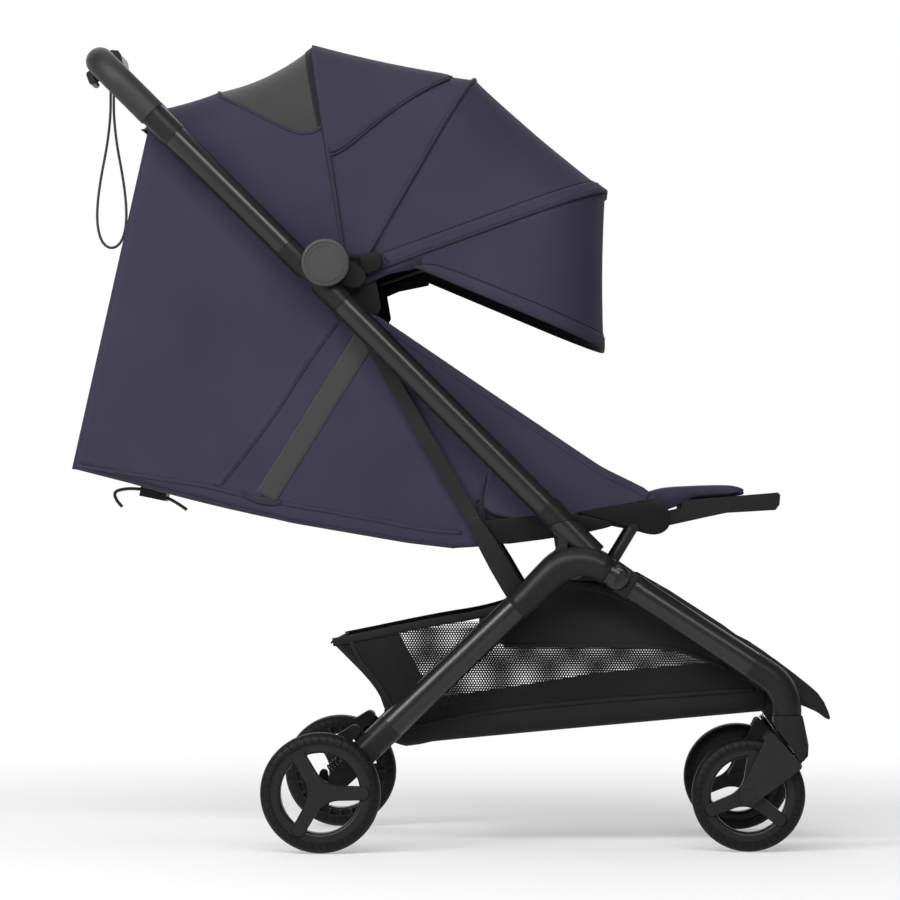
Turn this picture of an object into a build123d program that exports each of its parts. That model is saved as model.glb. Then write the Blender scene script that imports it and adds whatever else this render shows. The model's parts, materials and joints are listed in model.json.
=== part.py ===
"""Compact folding stroller: an assembly of separate named pieces, in millimetres.

The stroller faces +X, +Y is the child's left and the ground is z = 0. Pieces are drawn on the left side
and mirrored to the right. Points are given as (x, z) in the side view.
"""
import math
import os

from build123d import *

# Widths, from the middle outwards: each piece stands beside the one before it
SEAT_HALF_W = 126.0
HIP_T = 7.5
PAD_GAP = 0.5
HIP_Y = (SEAT_HALF_W + PAD_GAP, SEAT_HALF_W + PAD_GAP + HIP_T)
SIDE_WALL_T = 2.5
SIDE_WALL_GAP = 1.0
SIDE_WALL_Y = (HIP_Y[1] + SIDE_WALL_GAP, HIP_Y[1] + SIDE_WALL_GAP + SIDE_WALL_T)
STRUT_T = 5.5
STRUT_GAP = 1.5
STRUT_Y = (SIDE_WALL_Y[1] + STRUT_GAP, SIDE_WALL_Y[1] + STRUT_GAP + STRUT_T)
JOINT_T = 8.0
JOINT_GAP = 5.5
JOINT_Y = (STRUT_Y[1] + JOINT_GAP, STRUT_Y[1] + JOINT_GAP + JOINT_T)
TUBE_R = 15.5
TUBE_GAP = 5.0
TUBE_Y = STRUT_Y[1] + TUBE_GAP + TUBE_R
LEG_R = 17.0
LEG_GAP = 1.0
REAR_LEG_Y = JOINT_Y[1] + LEG_GAP + LEG_R
FRONT_LEG_STEP = 12.0
FRONT_LEG_Y = JOINT_Y[1] + FRONT_LEG_STEP
REAR_WHEEL_W = 30.0
WHEEL_GAP = 1.5
REAR_WHEEL_Y = REAR_LEG_Y + LEG_R + WHEEL_GAP + REAR_WHEEL_W / 2
FRONT_WHEEL_Y = FRONT_LEG_Y
BRACKET_Y = (STRUT_Y[1] + 0.5, STRUT_Y[1] + 4.9)

# Ground and wheels
REAR_WHEEL_R = 74.0
REAR_AXLE_X = -162.0
FRONT_WHEEL_R = 70.0
FRONT_WHEEL_W = 26.0
FRONT_AXLE_X = 364.0
AXLE_R = 5.0
BRAKE_TEETH = 24
BRAKE_RING_R = 55.0
BRAKE_RING_T = 10.0
SPOKE_T = 11.0
SPOKE_PROUD = 2.0
SPOKE_OVERLAP = 3.0
RIM_ROUND = 5.0

# Upper frame: handle tubes and upper tubes lie on one line that slopes at 45 degrees
HUB = (-158.0, 727.0)
HUB_OFFSET = 21.0
HUB_R = 29.0
TUBE_WALL = 1.8
LOWER_NECK = 50.0
UPPER_TUBE_END = 406.0
UPPER_NECK = 51.0
HANDLE_TUBE_END = 246.0
COLLAR_END = 286.0
CROSSBAR = 385.0
GRIP_R = 18.0
GRIP_CORNER_R = 46.0

# Legs
LEG_PIVOT = (148.0, 352.0)
LEG_CORNER = (151.0, 370.0)
LEG_CORNER_R = 45.0
FRONT_PIVOT = (202.0, 338.0)
REAR_LEG_END = (-75.6, 154.8)
LEG_WALL = 2.0
FRONT_LEG_SLOPE = 32.9
FRONT_LEG_START = 24.0
FRONT_LEG_LEN = 199.0
SWIVEL_X = 412.0
SWIVEL_Z = 168.0
ELBOW_R = 52.0
PIVOT_R = 8.0
KNUCKLE_R = 57.0
KNUCKLE_FLARE = [(-36, 5), (-26, 14), (-20, 23), (-18, 33), (-21, 43), (-6, 40), (-8, 8)]

# Suspension
FRONT_PIN = (428.0, 127.0)
REAR_PIN = (-141.7, 86.6)
SPRING_WIRE = 2.0

# Struts
STRUT_FOOT = (84.0, 306.5)
STRUT_TOP = (-102.0, 627.0)
STRUT_W = 16.0

# Seat
RECLINE_PIVOT = (25.0, 400.0)
BACKREST_END = (-468.0, 488.0)
BACKREST_HALF_W = 112.0
KNEE_PIVOT = (252.0, 408.0)
LEG_REST_END = (404.0, 434.0)
LEG_REST_HALF_W = 112.0

# Canopy: bows and panels turn about one pivot on each side
CANOPY_PIVOT = (-124.0, 712.0)
BOW_ANGLES = (101.0, 59.7, 18.7)
BOW_REACH = (292.0, 285.0, 322.0)
BOW_INSET = (7.0, 13.1, 19.2)
BOW_CORNER_R = 80.0
BOW_R = 2.8
VISOR_ANGLE = -15.0
VISOR_REACH = 323.0
FABRIC = 2.2
CANOPY_HALF_W = SIDE_WALL_Y[1] + SIDE_WALL_GAP
BOW_HALF_W = tuple(CANOPY_HALF_W - inset for inset in BOW_INSET)
CANOPY_CORNER_R = 86.0
PANEL_REACH = (305.0, 298.0, 334.0)

# The drawing's x that becomes the origin: the middle of the overall length
ORIGIN_X = -5.0

# Fits
PIN_GAP = 0.05
SEAT_GAP = 0.05
SIDE_GAP = 0.4


def on_line(s, off=0.0):
    """Point on the tube line: s millimetres down from the hub foot, off towards the front."""
    c = math.sqrt(0.5)
    foot_x = HUB[0] - HUB_OFFSET * c
    foot_z = HUB[1] - HUB_OFFSET * c
    return (foot_x + (s + off) * c, foot_z - (s - off) * c)


def polar(centre, radius, angle):
    """Point at a radius and an angle in degrees, anticlockwise from +X in the side view."""
    a = math.radians(angle)
    return (centre[0] + radius * math.cos(a), centre[1] + radius * math.sin(a))


def p3(point, y):
    """Side-view point as a point in space."""
    return (point[0], y, point[1])


def side_plane(y):
    """Plane seen from the right side: its x is +X, its y is +Z."""
    return Plane(origin=(0, y, 0), x_dir=(1, 0, 0), z_dir=(0, -1, 0))


def plate(points, y0, y1, corner=0.0):
    """Flat plate with a polygon outline, between two y values."""
    face = make_face(Polyline(*points, close=True))
    if corner > 0:
        face = fillet(face.vertices(), corner)
    return extrude(side_plane(y1) * face, y1 - y0)


def rod(p0, p1, radius):
    """Round bar between two points in space."""
    start = Vector(*p0)
    way = Vector(*p1) - start
    place = Plane(origin=start, z_dir=way.normalized())
    return place * Cylinder(radius, way.length, align=(Align.CENTER, Align.CENTER, Align.MIN))


def disc(point, radius, y0, y1):
    """Round bar along Y."""
    return rod(p3(point, y0), p3(point, y1), radius)


def link(a, b, ra, rb, y0, y1):
    """Plate shaped as the hull of two circles."""
    edges = [Pos(*a) * Circle(ra), Pos(*b) * Circle(rb)]
    face = make_hull(edges[0].edges() + edges[1].edges())
    return extrude(side_plane(y1) * face, y1 - y0)


def bent_tube(points, radii, radius):
    """Round bar swept along straight runs joined by arcs."""
    path = FilletPolyline(*points, radius=radii)
    ring = Plane(origin=path @ 0, z_dir=path % 0) * Circle(radius)
    return sweep(ring, path=path)


def pair(shape):
    """A piece and its mirror image on the other side."""
    return [shape, mirror(shape, about=Plane.XZ)]


def coil(p0, p1, radius, wire, turns):
    """Spring of one unbroken wire, wound on quarter turns between two points."""
    start = Vector(*p0)
    way = Vector(*p1) - start
    frame = Plane(origin=start, z_dir=way.normalized())
    steps = int(turns * 4)
    rise = (way.length - 2 * wire) / steps
    arcs = []

    def spot(k):
        a = math.radians(90.0 * k)
        local = Vector(radius * math.cos(a), radius * math.sin(a), wire + rise * k)
        return frame.from_local_coords(local)

    for k in range(steps):
        arcs.append(ThreePointArc(spot(k), spot(k + 0.5), spot(k + 1)))
    path = Wire(arcs)
    ring = Plane(origin=path @ 0, z_dir=path % 0) * Circle(wire / 2)
    return sweep(ring, path=path)


nodes = {}


# Upper frame
def make_upper_tube():
    outer = rod(p3(on_line(LOWER_NECK), TUBE_Y), p3(on_line(UPPER_TUBE_END), TUBE_Y), TUBE_R)
    inner = rod(p3(on_line(LOWER_NECK - 1), TUBE_Y), p3(on_line(UPPER_TUBE_END + 1), TUBE_Y), TUBE_R - TUBE_WALL)
    return outer - inner


HUB_SPLIT = TUBE_Y + 1.5
HUB_IN = TUBE_Y - 15.0
HUB_OUT = TUBE_Y + 18.0
NECK_GROOVE = 1.0


def hub_neck(start, end):
    """Round neck that flows out of the hub and ends in a fine groove where the tube begins."""
    way = 1 if end > start else -1
    bar = rod(p3(on_line(start), TUBE_Y), p3(on_line(end - way * NECK_GROOVE), TUBE_Y), TUBE_R)
    bar += rod(p3(on_line(end - way * 2 * NECK_GROOVE), TUBE_Y), p3(on_line(end), TUBE_Y), TUBE_R - NECK_GROOVE)
    return bar & link(HUB, on_line(end + way * 12), HUB_R + 1, HUB_R + 1, TUBE_Y - 2 * TUBE_R, TUBE_Y + 2 * TUBE_R)


def make_lower_knuckle():
    neck = hub_neck(0.5, LOWER_NECK) - disc(HUB, HUB_R + 0.6, HUB_SPLIT, HUB_OUT + 20)
    spigot = rod(p3(on_line(LOWER_NECK), TUBE_Y), p3(on_line(LOWER_NECK + 18), TUBE_Y), TUBE_R - TUBE_WALL - SEAT_GAP)
    body = disc(HUB, HUB_R, HUB_IN, HUB_SPLIT) + neck + spigot
    return body + disc(HUB, PIVOT_R, HUB_SPLIT, HUB_OUT - 1)


def make_upper_knuckle():
    neck = hub_neck(-0.5, -UPPER_NECK) - disc(HUB, HUB_R + 0.6, HUB_IN - 20, HUB_SPLIT + SIDE_GAP)
    spigot = rod(p3(on_line(-UPPER_NECK), TUBE_Y), p3(on_line(-UPPER_NECK - 18), TUBE_Y), TUBE_R - TUBE_WALL - SEAT_GAP)
    body = disc(HUB, HUB_R, HUB_SPLIT + SIDE_GAP, HUB_OUT) + neck + spigot
    return body - disc(HUB, PIVOT_R + PIN_GAP, HUB_IN, HUB_OUT - 1 + SIDE_GAP)


def make_hub_cap():
    cap = disc(HUB, HUB_R + 1, HUB_OUT, HUB_OUT + 6)
    rim = cap.edges().filter_by(GeomType.CIRCLE).sort_by(Axis.Y)[-1]
    cap = fillet(rim, 3.0)
    groove = disc(HUB, HUB_R - 3.5, HUB_OUT + 5.2, HUB_OUT + 7) - disc(HUB, HUB_R - 5.0, HUB_OUT + 5, HUB_OUT + 8)
    dish = disc(HUB, HUB_R - 8.0, HUB_OUT + 5.4, HUB_OUT + 7)
    return cap - groove - dish


REAR_INNER_Y = REAR_LEG_Y - LEG_R


def neck_bar():
    """Round neck from the upper tube's sleeve to the leg pivot; its outer half turns with the rear leg."""
    return rod(p3(on_line(UPPER_TUBE_END + 18), TUBE_Y), p3(on_line(UPPER_TUBE_END + 86), TUBE_Y), TUBE_R + 0.5)


def make_leg_joint():
    sleeve = rod(p3(on_line(UPPER_TUBE_END), TUBE_Y), p3(on_line(UPPER_TUBE_END + 18), TUBE_Y), LEG_R)
    neck = sleeve + neck_bar() - disc(LEG_PIVOT, KNUCKLE_R, JOINT_Y[1], TUBE_Y + 40)
    spigot = rod(p3(on_line(UPPER_TUBE_END - 18), TUBE_Y), p3(on_line(UPPER_TUBE_END), TUBE_Y),
                 TUBE_R - TUBE_WALL - SEAT_GAP)
    web = link(on_line(UPPER_TUBE_END + 30), LEG_PIVOT, 14.0, 18.0, *JOINT_Y)
    tail = link(LEG_PIVOT, JOINT_TAIL, 18.0, 12.0, *JOINT_Y)
    pin = disc(LEG_PIVOT, PIVOT_R, JOINT_Y[1], REAR_LEG_Y + 10)
    return neck + spigot + web + tail + pin


JOINT_TAIL = (190.0, 345.0)

nodes["upper_tubes"] = pair(make_upper_tube())
nodes["lower_knuckles"] = pair(make_lower_knuckle())
nodes["upper_knuckles"] = pair(make_upper_knuckle())
nodes["hub_caps"] = pair(make_hub_cap())
nodes["leg_joints"] = pair(make_leg_joint())
nodes["fold_axle"] = [disc(LEG_PIVOT, 10.0, -JOINT_Y[0], JOINT_Y[0])]


# Handle
def make_handle_tube():
    outer = rod(p3(on_line(-UPPER_NECK), TUBE_Y), p3(on_line(-HANDLE_TUBE_END), TUBE_Y), TUBE_R)
    inner = rod(p3(on_line(-UPPER_NECK + 1), TUBE_Y), p3(on_line(-HANDLE_TUBE_END - 1), TUBE_Y), TUBE_R - TUBE_WALL)
    return outer - inner


def make_collar():
    body = rod(p3(on_line(-HANDLE_TUBE_END), TUBE_Y), p3(on_line(-COLLAR_END), TUBE_Y), TUBE_R + 0.9)
    plug = rod(p3(on_line(-HANDLE_TUBE_END + 18), TUBE_Y), p3(on_line(-HANDLE_TUBE_END), TUBE_Y),
               TUBE_R - TUBE_WALL - SEAT_GAP)
    return body + plug


GRIP_AXIS = on_line(-CROSSBAR)


def make_grip():
    start = p3(on_line(-COLLAR_END), TUBE_Y)
    end = p3(on_line(-COLLAR_END), -TUBE_Y)
    return bent_tube([start, p3(GRIP_AXIS, TUBE_Y), p3(GRIP_AXIS, -TUBE_Y), end], GRIP_CORNER_R, GRIP_R)


HOUSING_HALF_W = 36.0


def make_release_housing():
    top = (GRIP_AXIS[0] + 5, GRIP_AXIS[1] + 13)
    body = link(GRIP_AXIS, top, GRIP_R + 1.0, 12.0, -HOUSING_HALF_W, HOUSING_HALF_W)
    body -= disc(GRIP_AXIS, GRIP_R + SEAT_GAP, -HOUSING_HALF_W - 1, HOUSING_HALF_W + 1)
    low = Pos(GRIP_AXIS[0], 0, GRIP_AXIS[1] - 50) * Box(120, 120, 100)
    body -= low
    slot = Pos(GRIP_AXIS[0] + 5, 4, GRIP_AXIS[1] + 26) * Box(12, 44, 8)
    return body - slot


def make_release_slider():
    foot = Pos(GRIP_AXIS[0] + 5, -2, GRIP_AXIS[1] + 23.6) * Box(11.2, 30, 3)
    knob = Pos(GRIP_AXIS[0] + 5, -2, GRIP_AXIS[1] + 26.2) * Box(8, 16, 3)
    return foot + knob


TRIGGER_TRAVEL = 4.0


def make_release_trigger():
    far = polar(GRIP_AXIS, GRIP_R + 8.5, 190)
    near = polar(GRIP_AXIS, GRIP_R + 8.5, 210)
    body = link(far, near, 4.5, 4.5, -22, 22)
    return body - disc(GRIP_AXIS, GRIP_R + TRIGGER_TRAVEL + 0.6, -30, 30)


def make_wrist_strap():
    x0 = GRIP_AXIS[0]
    z0 = GRIP_AXIS[1] - GRIP_R
    y0 = -56.0
    left = [(-2.2, -0.05), (-2.2, -22), (-3.4, -46), (-8, -82), (-15, -118), (-19, -152), (-17, -179), (-8, -198.5)]
    right = [(2.2, -0.05), (2.2, -22), (3.4, -46), (8, -82), (15, -118), (19, -152), (17, -179), (8, -198.5)]
    flat = left + right[::-1]
    points = [(x0 + x, y0 + 0.02 * z, z0 + z) for x, z in flat]
    radii = []
    for a, b, c in zip(points, points[1:], points[2:]):
        u = Vector(*b) - Vector(*a)
        v = Vector(*c) - Vector(*b)
        half = math.radians(u.get_angle(v)) / 2
        radii.append(0.45 * min(u.length, v.length) / math.tan(half))
    return bent_tube(points, radii, 1.7)


nodes["handle_tubes"] = pair(make_handle_tube())
nodes["handle_collars"] = pair(make_collar())
nodes["handle_grip"] = [make_grip()]
nodes["release_housing"] = [make_release_housing()]
nodes["release_slider"] = [make_release_slider()]
nodes["release_trigger"] = [make_release_trigger()]
nodes["wrist_strap"] = [make_wrist_strap()]

# Rear legs
leg_way = Vector(LEG_CORNER[0] - REAR_LEG_END[0], 0, LEG_CORNER[1] - REAR_LEG_END[1]).normalized()
LEG_DIR = (leg_way.X, leg_way.Z)


def along_leg(t):
    """Point on the rear leg axis, t millimetres past its lower end."""
    return (REAR_LEG_END[0] - LEG_DIR[0] * t, REAR_LEG_END[1] - LEG_DIR[1] * t)


KNUCKLE_SPLIT = REAR_LEG_Y - 0.5


def make_rear_leg():
    points = [p3(REAR_LEG_END, REAR_LEG_Y), p3(LEG_CORNER, REAR_LEG_Y), p3(FRONT_PIVOT, REAR_LEG_Y)]
    flare = [(LEG_PIVOT[0] + x, LEG_PIVOT[1] + z) for x, z in KNUCKLE_FLARE]
    knuckle = neck_bar() + plate(flare, TUBE_Y - 2, TUBE_Y + 11, 3.0)
    knuckle &= disc(LEG_PIVOT, KNUCKLE_R - 2 * SIDE_GAP, JOINT_Y[1] + LEG_GAP, TUBE_Y + 40)
    body = bent_tube(points, LEG_CORNER_R, LEG_R) + knuckle
    body -= bent_tube(points, LEG_CORNER_R, LEG_R - LEG_WALL)
    body += disc(LEG_PIVOT, 17.0, REAR_INNER_Y + 0.6, REAR_LEG_Y + 10)
    body -= disc(LEG_PIVOT, PIVOT_R + PIN_GAP, REAR_INNER_Y - 5, REAR_LEG_Y + 10 + SIDE_GAP)
    body -= disc(FRONT_PIVOT, LEG_R + 4.5, REAR_INNER_Y - 10, KNUCKLE_SPLIT)
    end = disc(FRONT_PIVOT, LEG_R - 0.4, KNUCKLE_SPLIT, REAR_LEG_Y + LEG_R - 2)
    end = fillet(end.edges().filter_by(GeomType.CIRCLE).sort_by(Axis.Y)[-1], 9.0)
    body += end + disc(FRONT_PIVOT, PIVOT_R, REAR_INNER_Y, KNUCKLE_SPLIT + 6)
    plug = along_leg(-90)
    lug = link(STRUT_FOOT, plug, 10.0, 9.0, STRUT_Y[1] + 0.4, STRUT_Y[1] + 3.2)
    lug += disc(STRUT_FOOT, 5.0, STRUT_Y[0], STRUT_Y[1] + 1)
    lug += disc(plug, 8.0, STRUT_Y[1] + 1, REAR_LEG_Y - LEG_R + LEG_WALL)
    return body + lug


def make_rear_foot():
    body = rod(p3(along_leg(0), REAR_LEG_Y), p3(along_leg(52), REAR_LEG_Y), LEG_R + 0.6)
    body += rod(p3(along_leg(-20), REAR_LEG_Y), p3(along_leg(0), REAR_LEG_Y), LEG_R - LEG_WALL - SEAT_GAP)
    cheeks = link(along_leg(40), REAR_PIN, 17.0, 12.0, REAR_LEG_Y - 15, REAR_LEG_Y + 15)
    shoulder = link(along_leg(44), SPRING_TOP, 10.0, 6.0, ARM_Y[0], ARM_Y[1])
    body = body + cheeks + shoulder
    body -= link(REAR_PIN, polar(REAR_PIN, 40, 212), 16.0, 16.0, ARM_Y[0] - 0.5, ARM_Y[1] + 0.5)
    way = Vector(REAR_LUG[0] - SPRING_TOP[0], REAR_LUG[1] - SPRING_TOP[1]).normalized()
    start = (SPRING_TOP[0] + way.X * 12.7, SPRING_TOP[1] + way.Y * 12.7)
    body -= link(start, REAR_LUG, 6.5, 9.0, ARM_Y[0] - 0.5, ARM_Y[1] + 0.5)
    body += link(along_leg(40), BRAKE_PIVOT, 9.0, 6.5, REAR_LEG_Y - 3, REAR_LEG_Y + 3)
    body += disc(BRAKE_PIVOT, 3.5, REAR_LEG_Y - 12, REAR_LEG_Y + 12)
    return body + disc(REAR_PIN, 4.0, REAR_LEG_Y - 15, REAR_LEG_Y + 15)


ARM_Y = (REAR_LEG_Y - 5.0, REAR_LEG_Y + 5.0)
REAR_AXLE = (REAR_AXLE_X, REAR_WHEEL_R)
SPRING_TOP = (-134.0, 119.0)
REAR_LUG = (-160.0, 96.0)
LEG_NORMAL = (-LEG_DIR[1], LEG_DIR[0])


def beside_leg(t, off):
    """Point t millimetres past the rear leg's lower end and off millimetres above its axis."""
    spot = along_leg(t)
    return (spot[0] + LEG_NORMAL[0] * off, spot[1] + LEG_NORMAL[1] * off)


BRAKE_PIVOT = beside_leg(38, 27.0)
BRAKE_TIP = beside_leg(57, 29.5)


def make_rear_arm():
    body = link(REAR_PIN, REAR_AXLE, 9.0, 10.0, *ARM_Y)
    body += link(REAR_AXLE, REAR_LUG, 10.0, 5.0, *ARM_Y)
    body -= disc(REAR_PIN, 4.0 + PIN_GAP, ARM_Y[0] - 1, ARM_Y[1] + 1)
    hub_in = REAR_WHEEL_Y - REAR_WHEEL_W / 2
    body += disc(REAR_AXLE, 9.0, ARM_Y[1], hub_in - SIDE_GAP)
    return body + disc(REAR_AXLE, AXLE_R, ARM_Y[1], REAR_WHEEL_Y + 8)


def make_rear_spring():
    way = Vector(REAR_LUG[0] - SPRING_TOP[0], 0, REAR_LUG[1] - SPRING_TOP[1]).normalized()
    top = Vector(*p3(SPRING_TOP, REAR_LEG_Y)) + way * 7.2
    low = Vector(*p3(REAR_LUG, REAR_LEG_Y)) - way * 5.5
    return coil(tuple(top), tuple(low), 4.0, SPRING_WIRE, 4)


def make_strut():
    bar = link(STRUT_FOOT, STRUT_TOP, STRUT_W / 2, STRUT_W / 2, *STRUT_Y)
    bar -= disc(STRUT_FOOT, 5.0 + PIN_GAP, STRUT_Y[0] - 1, STRUT_Y[1] + 1)
    rivet_at = (STRUT_FOOT[0] * 0.59 + STRUT_TOP[0] * 0.41, STRUT_FOOT[1] * 0.59 + STRUT_TOP[1] * 0.41)
    return bar + disc(rivet_at, 4.0, STRUT_Y[1], STRUT_Y[1] + 1.5)


def make_brake_pedal():
    body = link(BRAKE_PIVOT, BRAKE_TIP, 7.5, 9.0, REAR_LEG_Y - 14, REAR_LEG_Y + 14)
    body -= disc(BRAKE_PIVOT, 11.5, REAR_LEG_Y - 3 - SIDE_GAP, REAR_LEG_Y + 3 + SIDE_GAP)
    return body - disc(BRAKE_PIVOT, 3.5 + PIN_GAP, REAR_LEG_Y - 12 - SIDE_GAP, REAR_LEG_Y + 12 + SIDE_GAP)


nodes["rear_leg_tubes"] = pair(make_rear_leg())
nodes["rear_feet"] = pair(make_rear_foot())
nodes["rear_springs"] = pair(make_rear_spring())
nodes["struts"] = pair(make_strut())


def split_pair(name, shape):
    """Twins that ride on bodies of their own: one node each."""
    left, right = pair(shape)
    nodes[name + "_left"] = [left]
    nodes[name + "_right"] = [right]


split_pair("rear_arm", make_rear_arm())
split_pair("brake_pedal", make_brake_pedal())


# Wheels
def make_tyre(centre, radius, rim, y, width):
    ring = disc(centre, radius, y - width / 2, y + width / 2)
    edges = ring.edges().filter_by(GeomType.CIRCLE)
    ring = fillet(edges, width * 0.36)
    return ring - disc(centre, rim + SEAT_GAP, y - width, y + width)


def make_wheel(centre, rim, opening, hub, y, width, spoke_w, first_angle):
    """Rim with rounded sides and three spokes that flow into each other and end as pads on the rim."""
    side = width / 2 - 1.0
    rim_side = side - SPOKE_PROUD
    ring = disc(centre, rim, y - rim_side, y + rim_side) - disc(centre, opening, y - width, y + width)
    inner = ring.edges().filter_by(GeomType.CIRCLE).group_by(lambda e: e.radius)[0]
    body = fillet(inner, RIM_ROUND)
    star = Circle(spoke_w * 0.62)
    for k in range(3):
        reach = opening + SPOKE_OVERLAP
        arm = Polygon((0, spoke_w * 0.55), (0, -spoke_w * 0.55), (reach, -spoke_w / 2), (reach, spoke_w / 2), align=None)
        star += Rot(0, 0, first_angle + 120 * k) * (arm + Pos(reach, 0) * Circle(spoke_w / 2))
    roots = star.vertices().sort_by(lambda v: v.X * v.X + v.Y * v.Y)[:3]
    star = fillet(roots, spoke_w * 2.0)
    spokes = extrude(side_plane(y + side) * (Pos(*centre) * star), SPOKE_T)
    spokes = chamfer(spokes.faces().sort_by(Axis.Y)[-1].edges(), 0.8)
    return body + spokes + disc(centre, hub, y - side, y + side - 1.0)


REAR_RIM = REAR_WHEEL_R - 12.0
FRONT_RIM = FRONT_WHEEL_R - 12.0
FRONT_AXLE = (FRONT_AXLE_X, FRONT_WHEEL_R)


def make_rear_wheel():
    body = make_wheel(REAR_AXLE, REAR_RIM, 49.0, 15.0, REAR_WHEEL_Y, REAR_WHEEL_W, 17.0, 0.0)
    groove = Circle(BRAKE_RING_R + 4) - Circle(BRAKE_RING_R - 3)
    for k in range(BRAKE_TEETH):
        groove -= Rot(0, 0, 360.0 * k / BRAKE_TEETH) * (Pos(BRAKE_RING_R, 0) * Rectangle(12, 3.0))
    inner = REAR_WHEEL_Y - REAR_WHEEL_W / 2
    body -= extrude(side_plane(inner + BRAKE_RING_T) * (Pos(*REAR_AXLE) * groove), BRAKE_RING_T)
    return body - disc(REAR_AXLE, AXLE_R + PIN_GAP, REAR_WHEEL_Y - 20, REAR_WHEEL_Y + 8 + SIDE_GAP)


def make_front_wheel():
    body = make_wheel(FRONT_AXLE, FRONT_RIM, 46.0, 13.0, FRONT_WHEEL_Y, FRONT_WHEEL_W, 16.0, 82.0)
    return body - disc(FRONT_AXLE, AXLE_R + PIN_GAP, FRONT_WHEEL_Y - 20, FRONT_WHEEL_Y + 20)


split_pair("rear_wheel", make_rear_wheel())
split_pair("rear_tyre", make_tyre(REAR_AXLE, REAR_WHEEL_R, REAR_RIM, REAR_WHEEL_Y, REAR_WHEEL_W))
split_pair("front_wheel", make_front_wheel())
split_pair("front_tyre", make_tyre(FRONT_AXLE, FRONT_WHEEL_R, FRONT_RIM, FRONT_WHEEL_Y, FRONT_WHEEL_W))

# Front legs
slope = math.radians(FRONT_LEG_SLOPE)
FRONT_DIR = (math.cos(slope), -math.sin(slope))
FRONT_NORMAL = (math.sin(slope), math.cos(slope))


def along_front(t, off=0.0):
    """Point t millimetres down the front leg from its pivot, off millimetres above its axis."""
    x = FRONT_PIVOT[0] + FRONT_DIR[0] * t + FRONT_NORMAL[0] * off
    z = FRONT_PIVOT[1] + FRONT_DIR[1] * t + FRONT_NORMAL[1] * off
    return (x, z)


def elbow_bar(radius):
    """Round bar from the end of the front leg down to the swivel."""
    corner_t = (SWIVEL_X - FRONT_PIVOT[0]) / FRONT_DIR[0]
    corner = along_front(corner_t)
    low = (SWIVEL_X, SWIVEL_Z + SIDE_GAP)
    points = [along_front(FRONT_LEG_LEN), corner, low]
    run = min(corner_t - FRONT_LEG_LEN, corner[1] - low[1])
    bend = min(ELBOW_R, 0.95 * run / math.tan(math.radians(90.0 - FRONT_LEG_SLOPE) / 2))
    return bent_tube([p3(q, FRONT_LEG_Y) for q in points], bend, radius)


def make_front_leg():
    top = along_front(FRONT_LEG_START)
    body = rod(p3(top, FRONT_LEG_Y), p3(along_front(FRONT_LEG_LEN), FRONT_LEG_Y), LEG_R)
    body += rod(p3(top, FRONT_LEG_Y), p3(along_front(FRONT_LEG_START + 10), FRONT_LEG_Y), LEG_R + 1)
    body -= rod(p3(along_front(60), FRONT_LEG_Y), p3(along_front(FRONT_LEG_LEN + 1), FRONT_LEG_Y), LEG_R - LEG_WALL)
    ear = link(FRONT_PIVOT, along_front(FRONT_LEG_START + 4), LEG_R, LEG_R - 1, JOINT_Y[1] + 1, KNUCKLE_SPLIT - SIDE_GAP)
    body += ear
    return body - disc(FRONT_PIVOT, PIVOT_R + PIN_GAP, JOINT_Y[1] - 20, KNUCKLE_SPLIT + 1)


def make_front_elbow():
    body = elbow_bar(LEG_R + 0.5)
    body += rod(p3(along_front(FRONT_LEG_LEN - 20), FRONT_LEG_Y), p3(along_front(FRONT_LEG_LEN), FRONT_LEG_Y),
                LEG_R - LEG_WALL - SEAT_GAP)
    hole = rod((SWIVEL_X, FRONT_LEG_Y, SWIVEL_Z - 5), (SWIVEL_X, FRONT_LEG_Y, SWIVEL_Z + 26), 6.0 + PIN_GAP)
    return body - hole


def make_foot_panel():
    top = [along_front(46, 12), along_front(56, 19), (436, 203.5), (447, 194), (458, 180.5), (466, 164.5)]
    low = [(460.5, 163.5), (452.5, 176), (443, 187), (432, 195.5), along_front(56, 12)]
    half_w = FRONT_LEG_Y - LEG_R - 1.5
    body = plate(top + low, -half_w, half_w)
    for t in (90, 170):
        lug = plate([along_front(t, 11), along_front(t, 15), along_front(t + 24, 15), along_front(t + 24, 11)],
                    half_w - 4, half_w + 8)
        lug -= rod(p3(along_front(t - 10), FRONT_LEG_Y), p3(along_front(t + 40), FRONT_LEG_Y), LEG_R + SEAT_GAP)
        body += lug
        body += mirror(lug, about=Plane.XZ)
    for y in (-120, -60, 0, 60, 120):
        rib = plate([along_front(70, 3), along_front(70, 13), along_front(235, 13), along_front(235, 7)], y - 1.5, y + 1.5)
        body += rib
    return body


SLANT_LOW = (426.0, 113.0)
SLANT_HIGH = (394.0, 160.0)
CASTER_BACK = 394.0
CASTER_FRONT = 438.0
CASTER_HALF_W = 19.5
CASTER_ROUND = 15.0
FORK_BRIDGE = (391.0, 142.5)
FORK_CORNER = (424.0, 106.0)
FORK_EAR = (426.0, 112.5)


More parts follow.
